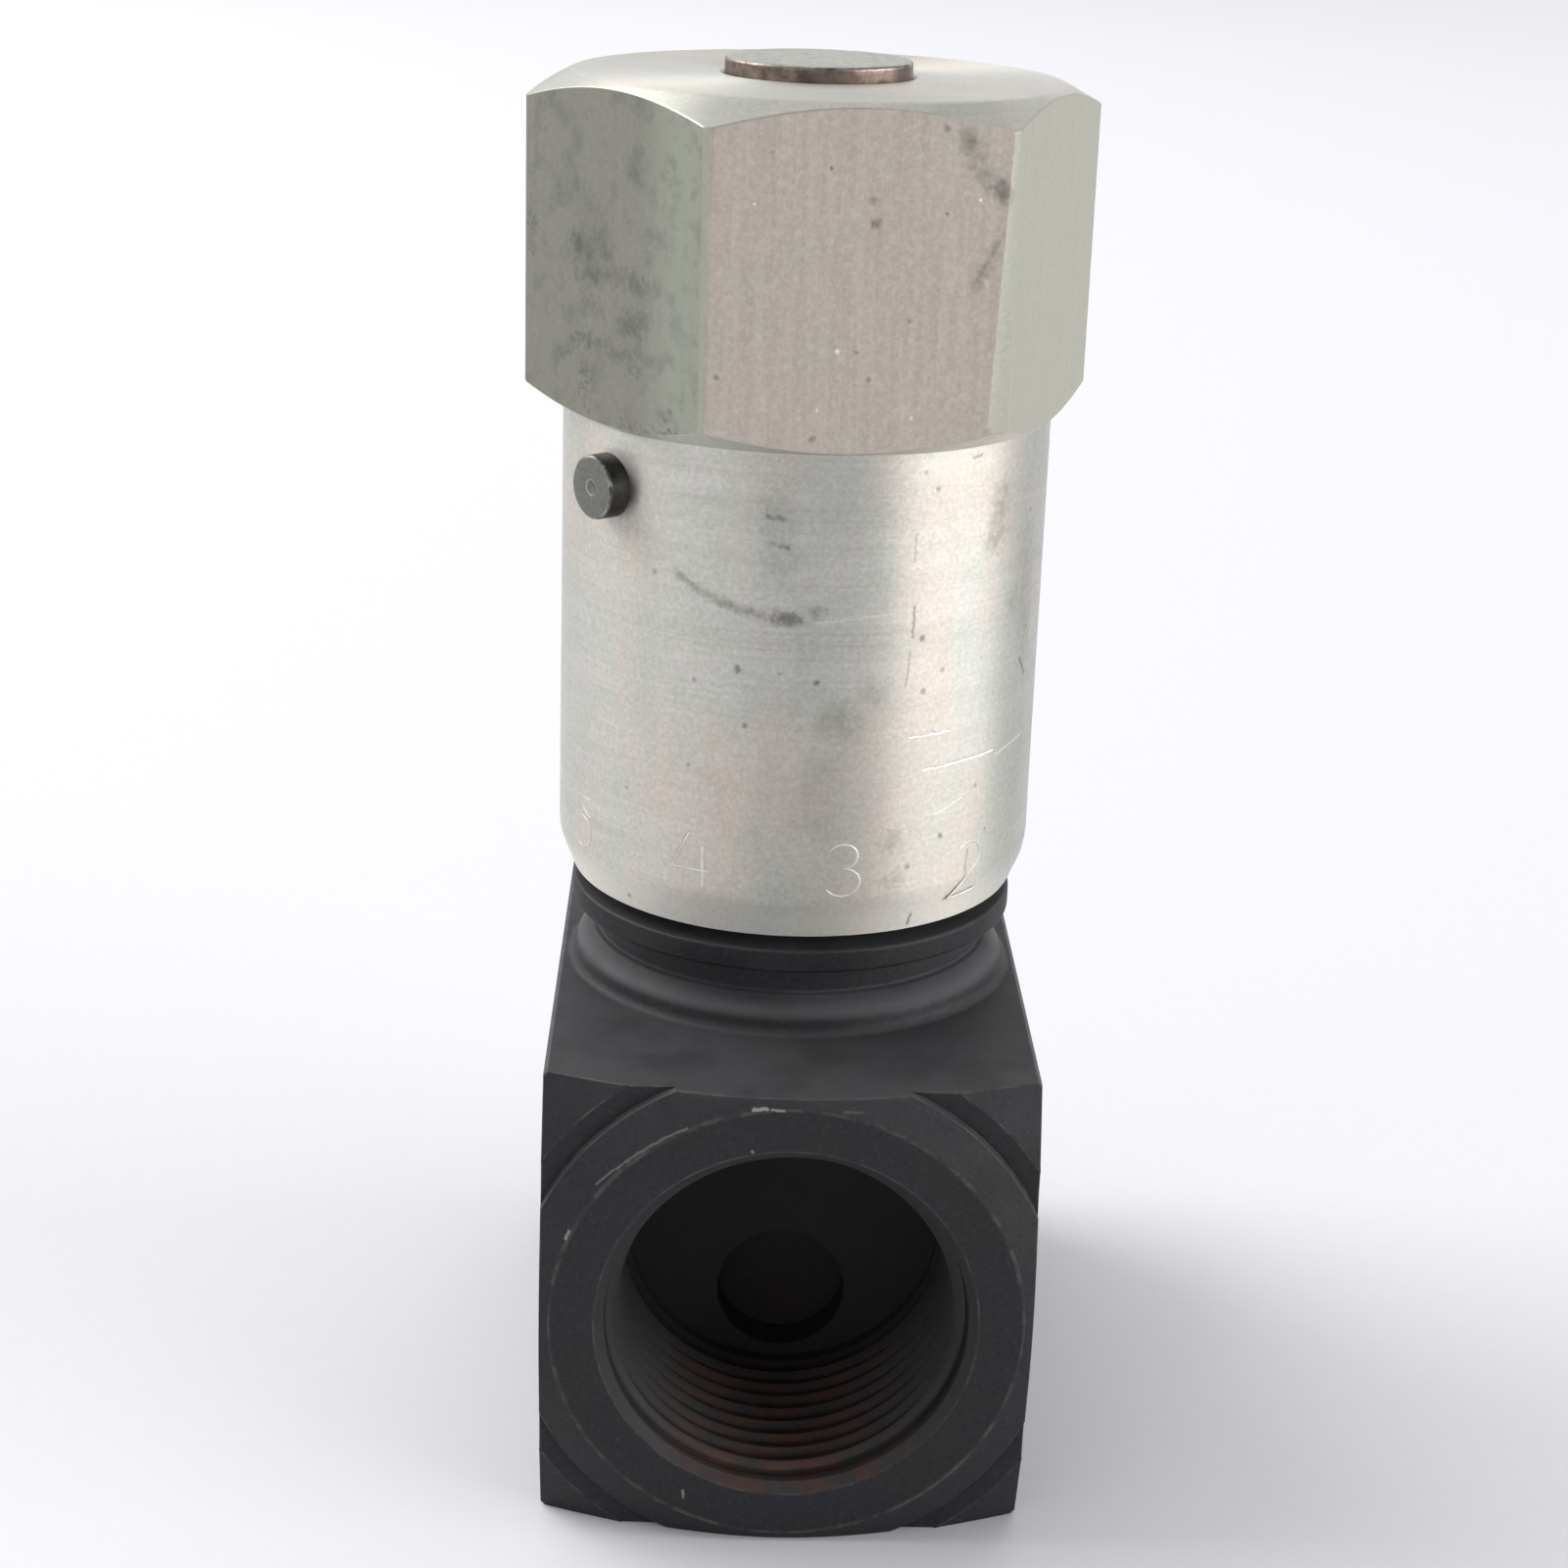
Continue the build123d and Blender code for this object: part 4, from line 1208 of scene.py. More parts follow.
def mount(piece: bpy.types.Object, body: str, slot: str, *nodes: str) -> None:
    """Fixes a finished piece to its body.

    Args:
        piece: The piece.
        body: Body that it moves with.
        slot: Material slot of the record that it would take its finish from; not used.
        nodes: CAD nodes that it stands for.
    """
    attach(piece, body)
    if nodes:
        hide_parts(*nodes)
    LOG.info("%s on %s: %d faces", piece.name, body, len(piece.data.polygons))


@dataclass
class ValveBody:
    """Square bar body with turned ends, threaded ports and turned neck. Sizes in mm."""

    width: float = 45.0
    edge_flat: float = 0.55
    length: float = 71.0
    face_r: float = 21.6
    rim_r: float = 24.8
    bevel_h: float = 1.8
    step_h: float = 0.8
    floor_r: float = 26.9
    cone_deg: float = 30.0
    sink_r: float = 17.5
    root_r: float = 16.625
    crest_r: float = 15.15
    pitch: float = 2.309
    thread_depth: float = 20.0
    # The thread stops this far below the face.
    thread_inset: float = 0.2
    drill_depth: float = 21.5
    passage_r: float = 6.25
    passage_offset: float = 7.7
    # A passage stops this far from the cage inside.
    passage_gap: float = 0.2
    edge_round: float = 0.22
    small_round: float = 0.15
    bore_round: float = 0.1
    # The neck's flare: radius, height above the bar and rounding.
    flare: tuple[tuple[float, float, float], ...] = (
        (22.05, -0.02, 0.0), (21.55, 0.12, 0.3), (21.2, 0.6, 0.3), (20.95, 1.6, 0.5),
        (19.5, 3.35, 0.5), (18.9, 3.45, 0.3))
    # Its root reaches this far into the bar.
    root_depth: float = 1.5
    shoulder_r: float = 18.8
    neck_r: float = 17.9
    groove_r: float = 16.1
    neck_chamfer: float = 0.8

    def __post_init__(self) -> None:
        """Works out the port axis and the ends of the body and its passages."""
        self.axis_z = self.width / 2
        self.half = self.length / 2
        self.passage_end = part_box("lower_cage")[1].y / MM + self.passage_gap

    def neck_corners(self) -> list[Corner]:
        """Outlines the neck, from its root inside the bar to its top.

        Returns:
            Corners as distance from the knob's axis and height.
        """
        ring_low, _ = height_of("index_ring")
        _, top = height_of("valve_body")
        groove_low, groove_high = height_of("friction_ring")
        root = self.width - self.root_depth
        flare = [Corner(r, self.width + h, round_off) for r, h, round_off in self.flare]
        return [
            Corner(0, root), Corner(flare[0].r, root), *flare,
            Corner(self.shoulder_r, ring_low), Corner(self.neck_r, ring_low),
            Corner(self.neck_r, groove_low), Corner(self.groove_r, groove_low),
            Corner(self.groove_r, groove_high), Corner(self.neck_r, groove_high),
            Corner(self.neck_r, top - self.neck_chamfer),
            Corner(self.neck_r - self.neck_chamfer, top), Corner(0, top),
        ]

    def end_corners(self, reach: float) -> list[Corner]:
        """Outlines one end, from the countersink out to the bar's side.

        Args:
            reach: Distance from the port axis to the bar's side in this direction.

        Returns:
            Corners as distance from the port axis and distance from the body's middle.
        """
        small = self.small_round
        rim_h = self.half - self.bevel_h
        floor_h = rim_h - self.step_h
        start = [Corner(self.sink_r, self.half, small), Corner(self.face_r, self.half, 2 * small)]
        if reach <= self.rim_r:
            slope = self.bevel_h / (self.rim_r - self.face_r)
            run = reach - self.face_r
            between = [Corner(self.face_r + t * run, self.half - t * slope * run, STRAIGHT)
                       for t in (0.4, 0.6, 0.8)]
            return start + between + [Corner(reach, self.half - slope * run, self.edge_round)]
        rim = [Corner(self.rim_r, rim_h, small), Corner(self.rim_r, floor_h, small)]
        if reach <= self.floor_r:
            middle = Corner((self.rim_r + reach) / 2, floor_h, STRAIGHT)
            return start + rim + [middle, Corner(reach, floor_h, self.edge_round)]
        drop = (reach - self.floor_r) * math.tan(math.radians(self.cone_deg))
        middle = Corner(self.floor_r, floor_h, small)
        return start + rim + [middle, Corner(reach, floor_h - drop, self.edge_round)]

    def column(self, reach: float) -> tuple[np.ndarray, np.ndarray]:
        """Outlines the bar in one direction from the port axis, from port to port.

        Args:
            reach: Distance from the port axis to the bar's side.

        Returns:
            Points as (distance from the port axis, place along Y), and their wear.
        """
        thread_end = self.half - self.thread_depth
        bore = [Corner(self.crest_r, self.half - self.drill_depth, STRAIGHT),
                Corner(self.crest_r, thread_end, self.bore_round),
                Corner(self.root_r, thread_end, self.bore_round),
                Corner(self.root_r, self.half - (self.sink_r - self.root_r), self.bore_round)]
        end = bore + self.end_corners(reach)
        loop = [Corner(c.r, -c.h, c.round) for c in end]
        loop += [Corner(c.r, c.h, c.round) for c in reversed(end)]
        inner = Corner(self.passage_r, loop[0].h)
        outline, wear = rounded([inner] + loop + [Corner(self.passage_r, loop[-1].h)], False)
        return outline[1:-1], wear[1:-1]

    def stations(self) -> list[float]:
        """Places the columns along a side, with a pair of them at each break of the end.

        Returns:
            Places from -1 to 1.
        """
        half_side = self.width / 2 - self.edge_flat / math.sqrt(2)
        places = spread(41, 0.992)
        for radius in (self.rim_r, self.floor_r):
            at = math.sqrt(radius ** 2 - (self.width / 2) ** 2) / half_side
            places += [s * (at + gap) for s in (-1, 1) for gap in (-0.0006, 0.0006)]
        return sorted(places)

    def passage_point(self, direction: np.ndarray, radius: float, side: int,
                      depth: float) -> tuple[float, float, float]:
        """Finds a point on the offset passage behind a port.

        Args:
            direction: Direction from the passage's axis, as (across, up).
            radius: Distance from the passage's axis, in mm.
            side: -1 for the front passage, which lies low, and +1 for the rear one.
            depth: Distance from the body's middle, in mm.

        Returns:
            The point in mm.
        """
        centre_z = self.axis_z + side * self.passage_offset
        return (radius * direction[0], side * depth, centre_z + radius * direction[1])

    def build(self) -> bpy.types.Object:
        """Makes the bar and its neck as one skin.

        Returns:
            The piece.
        """
        plan = PrismPlan(4, self.width / 2, 45.0, self.stations())
        section = plan.points([self.edge_flat] * plan.sides)
        reaches = np.linalg.norm(section, axis=1)
        edge_wear = plan.edge_wear((0.6, 1.0, 0.6))
        grid, wear = [], []
        for (across, up), reach, worn_edge in zip(section, reaches, edge_wear):
            outline, worn = self.column(reach)
            direction = np.array([across, up]) / reach
            ends = []
            for side, depth in ((-1, -outline[0, 1]), (1, outline[-1, 1])):
                ends.append([self.passage_point(direction, 0.0, side, self.passage_end),
                             self.passage_point(direction, self.passage_r, side, self.passage_end),
                             self.passage_point(direction, self.passage_r, side, depth)])
            skin = [(r * direction[0], y, self.axis_z + r * direction[1]) for r, y in outline]
            on_side = np.abs(outline[:, 0] - reach) < 0.1
            grid.append(ends[0] + skin + ends[1][::-1])
            unworn = [0.0] * len(ends[0])
            wear.append(unworn + list(np.maximum(worn, worn_edge * on_side)) + unworn)
        bar = shell("valve_body_skin", np.array(grid), np.array(wear), False)
        neck = turned("neck_form", self.neck_corners(), columns=160)
        return settled(fused(bar, neck))

    def thread_tree(self) -> bpy.types.NodeTree:
        """Builds the tree of an internal thread: a ridge wound along a helix in its bore.

        Returns:
            The tree.
        """
        tree = new_tree("pipe_thread", {
            "Root radius": "NodeSocketFloat", "Depth": "NodeSocketFloat",
            "Pitch": "NodeSocketFloat", "Length": "NodeSocketFloat",
            "Mouth radius": "NodeSocketFloat", "Place": "NodeSocketVector",
            "Turn": "NodeSocketRotation", "Steps per turn": "NodeSocketInt"})
        given = tree.nodes["given"].outputs
        turns = add(tree, "ShaderNodeMath", {0: given["Length"], 1: given["Pitch"]},
                    operation="DIVIDE")
        helix = add(tree, "GeometryNodeCurveSpiral",
                    {"Resolution": given["Steps per turn"], "Rotations": turns,
                     "Start Radius": given["Root radius"], "End Radius": given["Root radius"],
                     "Height": given["Length"]})
        upright = add(tree, "GeometryNodeSetCurveNormal", {"Curve": helix}, mode="Z_UP")
        # Neighbouring turns overlap a little at their feet.
        foot = add(tree, "ShaderNodeMath", {0: given["Pitch"], 1: 1.02}, operation="MULTIPLY")
        crest = add(tree, "ShaderNodeMath", {0: given["Pitch"], 1: 0.16}, operation="MULTIPLY")
        tall = add(tree, "ShaderNodeMath", {0: given["Depth"], 1: 1.12}, operation="MULTIPLY")
        form = add(tree, "GeometryNodeCurvePrimitiveQuadrilateral",
                   {"Height": tall, "Bottom Width": foot, "Top Width": crest, "Offset": 0.0},
                   mode="TRAPEZOID")
        ridge = add(tree, "GeometryNodeCurveToMesh",
                    {"Curve": upright, "Profile Curve": form, "Fill Caps": True})
        # The countersink's cone trims the crests of the first turns.
        place = add(tree, "GeometryNodeInputPosition")
        parts = add(tree, "ShaderNodeSeparateXYZ", {0: place}).outputs
        flat = add(tree, "ShaderNodeCombineXYZ", {0: parts[0], 1: parts[1]})
        radius = add(tree, "ShaderNodeVectorMath", {0: flat}, operation="LENGTH")
        below = add(tree, "ShaderNodeMath", {0: given["Length"], 1: parts[2]},
                    operation="SUBTRACT")
        cone = add(tree, "ShaderNodeMath", {0: given["Mouth radius"], 1: below},
                   operation="SUBTRACT")
        kept = add(tree, "ShaderNodeMath", {0: radius, 1: cone}, operation="MAXIMUM")
        share = add(tree, "ShaderNodeMath", {0: kept, 1: radius}, operation="DIVIDE")
        stretch = add(tree, "ShaderNodeCombineXYZ", {0: share, 1: share, 2: 1.0})
        moved = add(tree, "ShaderNodeVectorMath", {0: place, 1: stretch}, operation="MULTIPLY")
        # Its first and last turns end flush with the bore's ends.
        inside = add(tree, "ShaderNodeSeparateXYZ", {0: moved}).outputs
        level = add(tree, "ShaderNodeClamp",
                    {"Value": inside[2], "Min": 0.0, "Max": given["Length"]})
        flush = add(tree, "ShaderNodeCombineXYZ", {0: inside[0], 1: inside[1], 2: level})
        trimmed = add(tree, "GeometryNodeSetPosition", {"Geometry": ridge, "Position": flush})
        seated = add(tree, "GeometryNodeTransform",
                     {"Geometry": trimmed, "Rotation": given["Turn"],
                      "Translation": given["Place"]})
        end_tree(tree, seated)
        return tree

    def threads(self, finish: bpy.types.Material) -> list[bpy.types.Object]:
        """Makes the ridges of both port threads.

        Args:
            finish: Material of the thread.

        Returns:
            The two pieces.
        """
        tree = self.thread_tree()
        deep = self.half - self.thread_depth
        return [grown(name, tree, root_radius=self.root_r * MM,
                      depth=(self.root_r - self.crest_r) * MM, pitch=self.pitch * MM,
                      length=(self.thread_depth - self.thread_inset) * MM,
                      mouth_radius=self.sink_r * MM, steps_per_turn=96, finish=finish,
                      place=(0.0, side * deep * MM, self.axis_z * MM),
                      turn=(-side * math.pi / 2, 0.0, 0.0))
                for name, side in (("front_port_thread", -1), ("rear_port_thread", 1))]

    def assemble(self) -> None:
        """Builds, dresses and mounts the body and its threads."""
        black = BlackOxideSteel(port_axis=self.axis_z, face=self.half, mouth_r=self.sink_r,
                                thread_end=self.half - self.thread_depth)
        steel = black.material()
        mount(dress(self.build(), steel), "body", "body_steel", "valve_body")
        for thread in self.threads(steel):
            mount(thread, "body", "body_steel")
        # The ring's darker black is painted shade under the knob's rim.
        ring_steel = replace(black, name="black_oxide_ring", black="#161619").material()
        mount(dress(IndexRing().build(), ring_steel), "body", "ring_steel", "index_ring")


@dataclass
class IndexRing:
    """Turned ring under the knob's rim. Sizes in mm."""

    outer_r: float = 21.4
    inner_r: float = 17.92
    edge: float = 0.35

    def build(self) -> bpy.types.Object:
        """Makes the ring.

        Returns:
            The piece.
        """
        low, high = height_of("index_ring")
        return settled(turned("index_ring_skin", [
            Corner(self.inner_r, low), Corner(self.outer_r, low, self.edge),
            Corner(self.outer_r, high, self.edge), Corner(self.inner_r, high)],
            columns=160, closed=True))


@dataclass
class Knob:
    """Knob with a hexagon head and a bevelled round skirt. Sizes in mm."""

    across_flats: float = 46.0
    turn_deg: float = 8.26
    flat_r: float = 22.2
    chamfer_deg: float = 28.0
    hex_height: float = 29.9
    skirt_r: float = 22.75
    bevel_depth: float = 1.4
    bevel_h: float = 3.4
    bore_r: float = 17.98
    web_low: float = 78.0
    web_t: float = 4.0
    thread_r: float = 7.05
    shank_r: float = 8.62
    # Widths of the narrow flats along the hexagon's edges, at its foot and at its top: handling
    # has worn the front right edge broad at its foot.
    flats_low: tuple[float, ...] = (0.8, 0.7, 0.7, 0.8, 0.6, 2.3)
    flats_high: tuple[float, ...] = (0.8, 0.7, 0.7, 0.8, 0.9, 0.45)

    def __post_init__(self) -> None:
        """Reads the knob's ends from the frame."""
        self.rim_z, self.top_z = height_of("control_knob")
        self.hex_z = self.top_z - self.hex_height

    def corners(self, reach_low: float, reach_high: float) -> list[Corner]:
        """Outlines the knob in one direction, as a closed loop.

        Args:
            reach_low: Distance from the axis to the hexagon's side at its foot.
            reach_high: The same at its top.

        Returns:
            The corners, down the bore's inside and up the outside.
        """
        slope = math.tan(math.radians(self.chamfer_deg))
        foot = self.hex_z + (reach_low - self.skirt_r) * slope
        brow = self.top_z - (reach_high - self.flat_r) * slope
        shoulder_z = self.web_low + self.web_t
        return [
            Corner(self.bore_r, self.rim_z, 0.25),
            Corner(self.skirt_r - self.bevel_depth, self.rim_z, 0.35),
            Corner(self.skirt_r, self.rim_z + self.bevel_h, 1.3),
            Corner(self.skirt_r, self.hex_z, 0.12),
            Corner(reach_low, foot, 0.12),
            Corner(reach_high, brow, 0.16),
            Corner(self.flat_r, self.top_z, 0.5),
            Corner(self.shank_r + 0.3, self.top_z, 0.05),
            Corner(self.shank_r, self.top_z - 0.3, 0.05),
            Corner(self.shank_r, shoulder_z),
            Corner(self.thread_r, shoulder_z),
            Corner(self.thread_r, self.web_low),
            Corner(self.bore_r, self.web_low),
        ]

    def build(self) -> bpy.types.Object:
        """Makes the knob as one closed skin.

        Returns:
            The piece.
        """
        plan = PrismPlan(6, self.across_flats / 2, self.turn_deg, spread(27, 0.988))
        low = plan.points(list(self.flats_low))
        high = plan.points(list(self.flats_high))
        edge_wear = plan.edge_wear((0.15, 0.0, 0.55))
        grid, wear = [], []
        for (lx, ly), (hx, hy), worn_edge in zip(low, high, edge_wear):
            reach_low, reach_high = math.hypot(lx, ly), math.hypot(hx, hy)
            outline, worn = rounded(self.corners(reach_low, reach_high), True)
            # The first five corners, all rounded, follow the section at the foot.
            below = np.arange(len(outline)) < 5 * (ROUND_STEPS + 1)
            dx = np.where(below, lx / reach_low, hx / reach_high)
            dy = np.where(below, ly / reach_low, hy / reach_high)
            grid.append(np.stack([outline[:, 0] * dx, outline[:, 0] * dy, outline[:, 1]], axis=1))
            on_hex = outline[:, 0] > self.skirt_r + 0.2
            wear.append(np.maximum(worn * 0.35, worn_edge * on_hex))
        return settled(shell("control_knob_skin", np.array(grid), np.array(wear), True))

    def assemble(self) -> None:
        """Builds, dresses and mounts the knob and what is fixed to it."""
        turned_metal = TurnedAluminium(self.skirt_r, self.rim_z, self.hex_z).material()
        left_face_deg = self.turn_deg - 150.0
        drawn_metal = DrawnAluminium(self.across_flats / 2, left_face_deg).material()
        knob = dress(self.build(), turned_metal, drawn_metal)
        # The hexagon's sides keep the finish of the bar, and the rest is turned.
        for face in knob.data.polygons:
            reach = math.hypot(face.center.x, face.center.y) / MM
            if abs(face.normal.z) < 0.3 and reach > self.skirt_r + 0.1:
                face.material_index = 1
        mount(knob, "knob", "knob_aluminium", "control_knob")
        mount(Dial(self.skirt_r).build(), "knob", "knob_aluminium")
        mount(Spindle(self.web_low + self.web_t).build(), "knob", "spindle_steel", "spindle")
        mount(LockScrew().build(), "knob", "screw_steel", "lock_screw")


def arc(centre: tuple[float, float], size: tuple[float, float], start_deg: float,
        end_deg: float) -> tuple[tuple[float, float], ...]:
    """Samples part of an ellipse.

    Args:
        centre: Its middle.
        size: Its half-width and half-height.
        start_deg: Angle of its start, from the right, anticlockwise.
        end_deg: Angle of its end.

    Returns:
        Points along it.
    """
    angles = np.radians(np.linspace(start_deg, end_deg, 9))
    return tuple((centre[0] + size[0] * math.cos(a), centre[1] + size[1] * math.sin(a))
                 for a in angles)


class Digit(Enum):
    """Strokes of each dial digit as (across, up), in a cell one unit tall."""

    ZERO = (arc((0.34, 0.5), (0.32, 0.5), 90, 450),)
    ONE = (((0.12, 0.78), (0.38, 1.0)), ((0.38, 1.0), (0.38, 0.0)))
    TWO = (arc((0.4, 0.74), (0.34, 0.28), 160, -30), ((0.69, 0.6), (0.34, 0.3), (-0.1, 0.0)),
           ((-0.1, 0.0), (0.66, 0.06)))
    THREE = (arc((0.3, 0.77), (0.28, 0.24), 150, -90), arc((0.3, 0.27), (0.34, 0.27), 90, -150))
    FOUR = (((0.36, 1.0), (0.0, 0.28)), ((0.0, 0.28), (0.74, 0.28)), ((0.62, 0.78), (0.64, 0.0)))
    FIVE = (((0.62, 1.0), (0.12, 0.98)), ((0.12, 0.98), (0.08, 0.58)),
            arc((0.3, 0.31), (0.34, 0.31), 125, -150))
    SIX = (arc((0.5, 0.5), (0.44, 0.52), 80, 190), arc((0.36, 0.28), (0.31, 0.28), 180, 540))
    SEVEN = (((0.02, 1.0), (0.68, 1.0)), ((0.68, 1.0), (0.24, 0.0)))
    EIGHT = (arc((0.34, 0.77), (0.26, 0.23), -90, 270), arc((0.34, 0.27), (0.34, 0.27), 90, 450))
    NINE = (arc((0.34, 0.72), (0.31, 0.28), 0, 360), arc((0.22, 0.5), (0.43, 0.52), 10, -80))


@dataclass
class Dial:
    """Digits scribed round the skirt's foot, one every tenth of a turn. Sizes in mm."""

    skirt_r: float
    foot_z: float = 59.4
    digit_height: float = 5.0
    # Middle of a digit's cell, as a share of its height.
    cell_middle: float = 0.35
    first_azimuth_deg: float = 28.8
    step_deg: float = -36.0
    stroke_w: float = 0.2
    proud: float = 0.03
    # They were scribed by hand, so these sit off the even places: azimuth and height.
    strays: dict[int, tuple[float, float]] = field(
        default_factory=lambda: {2: (-3.0, -1.7), 4: (-0.8, 0.2), 7: (1.2, 0.4), 9: (-0.8, -0.5)})

    def strokes(self) -> bpy.types.Mesh:
        """Lays the digits' strokes out flat, X along the skirt and Z up.

        Returns:
            A mesh with one run of edges to a stroke.
        """
        mesh = bpy.data.meshes.new("dial_strokes")
        made = bmesh.new()
        for number, digit in enumerate(Digit):
            stray_deg, stray_z = self.strays.get(number, (0.0, 0.0))
            azimuth = self.first_azimuth_deg + self.step_deg * number + stray_deg
            middle = self.skirt_r * math.radians(azimuth)
            for stroke in digit.value:
                verts = []
                for across, up in stroke:
                    x = middle + (across - self.cell_middle) * self.digit_height
                    z = self.foot_z + stray_z + up * self.digit_height
                    verts.append(made.verts.new((x * MM, 0.0, z * MM)))
                for ends in zip(verts, verts[1:]):
                    made.edges.new(ends)
        made.to_mesh(mesh)
        made.free()
        return mesh

    def tree(self) -> bpy.types.NodeTree:
        """Builds the tree that thickens flat strokes to low beads and wraps them on the skirt.

        Returns:
            The tree.
        """
        tree = new_tree("dial_digits", {
            "Strokes": "NodeSocketGeometry", "Skirt radius": "NodeSocketFloat",
            "Stroke width": "NodeSocketFloat", "Proud": "NodeSocketFloat"})
        given = tree.nodes["given"].outputs
        lines = add(tree, "GeometryNodeMeshToCurve", {0: given["Strokes"]})
        fine = add(tree, "GeometryNodeResampleCurve", {0: lines, "Count": 24})
        half = add(tree, "ShaderNodeMath", {0: given["Stroke width"], 1: 0.5},
                   operation="MULTIPLY")
        form = add(tree, "GeometryNodeCurvePrimitiveCircle", {"Resolution": 10, "Radius": half})
        beads = add(tree, "GeometryNodeCurveToMesh",
                    {"Curve": fine, "Profile Curve": form, "Fill Caps": True})
        parts = add(tree, "ShaderNodeSeparateXYZ",
                    {0: add(tree, "GeometryNodeInputPosition")}).outputs
        angle = add(tree, "ShaderNodeMath", {0: parts[0], 1: given["Skirt radius"]},
                    operation="DIVIDE")
        flat = add(tree, "ShaderNodeMath", {0: given["Proud"], 1: half}, operation="DIVIDE")
        out = add(tree, "ShaderNodeMath", {0: parts[1], 1: flat, 2: given["Skirt radius"]},
                  operation="MULTIPLY_ADD")
        cosine = add(tree, "ShaderNodeMath", {0: angle}, operation="COSINE")
        sine = add(tree, "ShaderNodeMath", {0: angle}, operation="SINE")
        around = add(tree, "ShaderNodeCombineXYZ", {0: cosine, 1: sine})
        ring = add(tree, "ShaderNodeVectorMath", {0: around, "Scale": out}, operation="SCALE")
        rise = add(tree, "ShaderNodeCombineXYZ", {2: parts[2]})
        place = add(tree, "ShaderNodeVectorMath", {0: ring, 1: rise})
        wrapped = add(tree, "GeometryNodeSetPosition", {"Geometry": beads, "Position": place})
        end_tree(tree, wrapped)
        return tree

    def build(self) -> bpy.types.Object:
        """Makes the digits with their finish.

        Returns:
            The piece.
        """
        scribed = CleanMetal("scribed_aluminium", "#e0dfd8", "#b0ada3", 0.4).material()
        return grown("dial_digits", self.tree(), self.strokes(), skirt_radius=self.skirt_r * MM,
                     stroke_width=self.stroke_w * MM, proud=self.proud * MM, finish=scribed)


@dataclass
class Spindle:
    """Screw spindle, whose end disc stands proud of the knob. Sizes in mm."""

    shank_low: float
    shank_r: float = 8.5
    thread_r: float = 7.0
    journal_r: float = 5.0
    head_r: float = 3.8
    head_h: float = 2.5
    waist_r: float = 2.4
    waist_top: float = 6.25
    end_round: float = 0.35
    # From the rings in the bonnet up to the thread.
    land_h: float = 2.1

    def build(self) -> bpy.types.Object:
        """Makes the spindle with its finish.

        Returns:
            The piece.
        """
        low, high = height_of("spindle")
        nut_low = height_of("stem_backup_ring")[1] + self.land_h
        steel = TarnishedSteel("turned_spindle_steel", "#84776e", "#54443c", "#b9b9af",
                               (0.0, 0.0, 1.0), 0.3).material()
        return dress(settled(turned("spindle_skin", [
            Corner(0, low), Corner(self.head_r, low, 0.1),
            Corner(self.head_r, low + self.head_h, 0.1),
            Corner(self.waist_r, low + self.head_h), Corner(self.waist_r, low + self.waist_top),
            Corner(self.journal_r, low + self.waist_top, 0.2), Corner(self.journal_r, nut_low),
            Corner(self.thread_r, nut_low, 0.3), Corner(self.thread_r, self.shank_low),
            Corner(self.shank_r, self.shank_low), Corner(self.shank_r, high, self.end_round),
            Corner(0, high)])), steel)


@dataclass
class LockScrew:
    """Dark screw through the skirt, with a centre dimple in its end. Sizes in mm."""

    radius: float = 2.9
    azimuth_deg: float = -141.74
    height: float = 95.1
    seat: float = 6.4
    end: float = 24.75
    dimple_r: float = 0.7
    dimple_depth: float = 0.35

    def build(self) -> bpy.types.Object:
        """Makes the screw in its place, with its finish.

        Returns:
            The piece.
        """
        screw = turned("lock_screw_skin", [
            Corner(0, self.seat), Corner(self.radius, self.seat),
            Corner(self.radius, self.end, 0.3), Corner(self.dimple_r, self.end, 0.12),
            Corner(0, self.end - self.dimple_depth)], columns=64)
        azimuth = math.radians(self.azimuth_deg)
        place = Matrix.Rotation(azimuth, 4, "Z") @ Matrix.Rotation(math.pi / 2, 4, "Y")
        screw.data.transform(Matrix.Translation((0, 0, self.height * MM)) @ place)
        steel = TarnishedSteel("dark_screw_steel", "#4b4a47", "#2f2e2c", "#7d7d78",
                               (math.cos(azimuth), math.sin(azimuth), 0.0), 0.42).material()
        return dress(settled(screw), steel)


@dataclass
class MeteringCartridge:
    """Needle, poppet, cages, bonnet and seals inside the body, kept as the frame has them."""

    finishes: dict[str, CleanMetal | Moulded] = field(default_factory=lambda: {
        "inner_steel": CleanMetal("ground_steel", "#9c9c9e", "#7d7c7c", 0.28),
        "spring_steel": CleanMetal("drawn_spring_wire", "#86868a", "#5d5c5e", 0.35, 0.12),
        "washer_copper": CleanMetal("soft_copper", "#b9744f", "#8a4f33", 0.38),
        "seal_rubber": Moulded("nitrile_rubber", "#17171a", "#2b2b2e", 0.55, 1.52),
        "backup_plastic": Moulded("white_fluoroplastic", "#e4e2da", "#cfccc2", 0.5, 1.36)})

    def assemble(self) -> None:
        """Gives each inner node the finish of its slot in the record."""
        made = {slot: finish.material() for slot, finish in self.finishes.items()}
        for row in frame["record"]["subparts"]:
            if row["material_slot"] in made:
                for place in frame["nodes"][row["node"]].material_slots:
                    place.material = made[row["material_slot"]]
                LOG.info("%s: %s", row["node"], row["material_slot"])


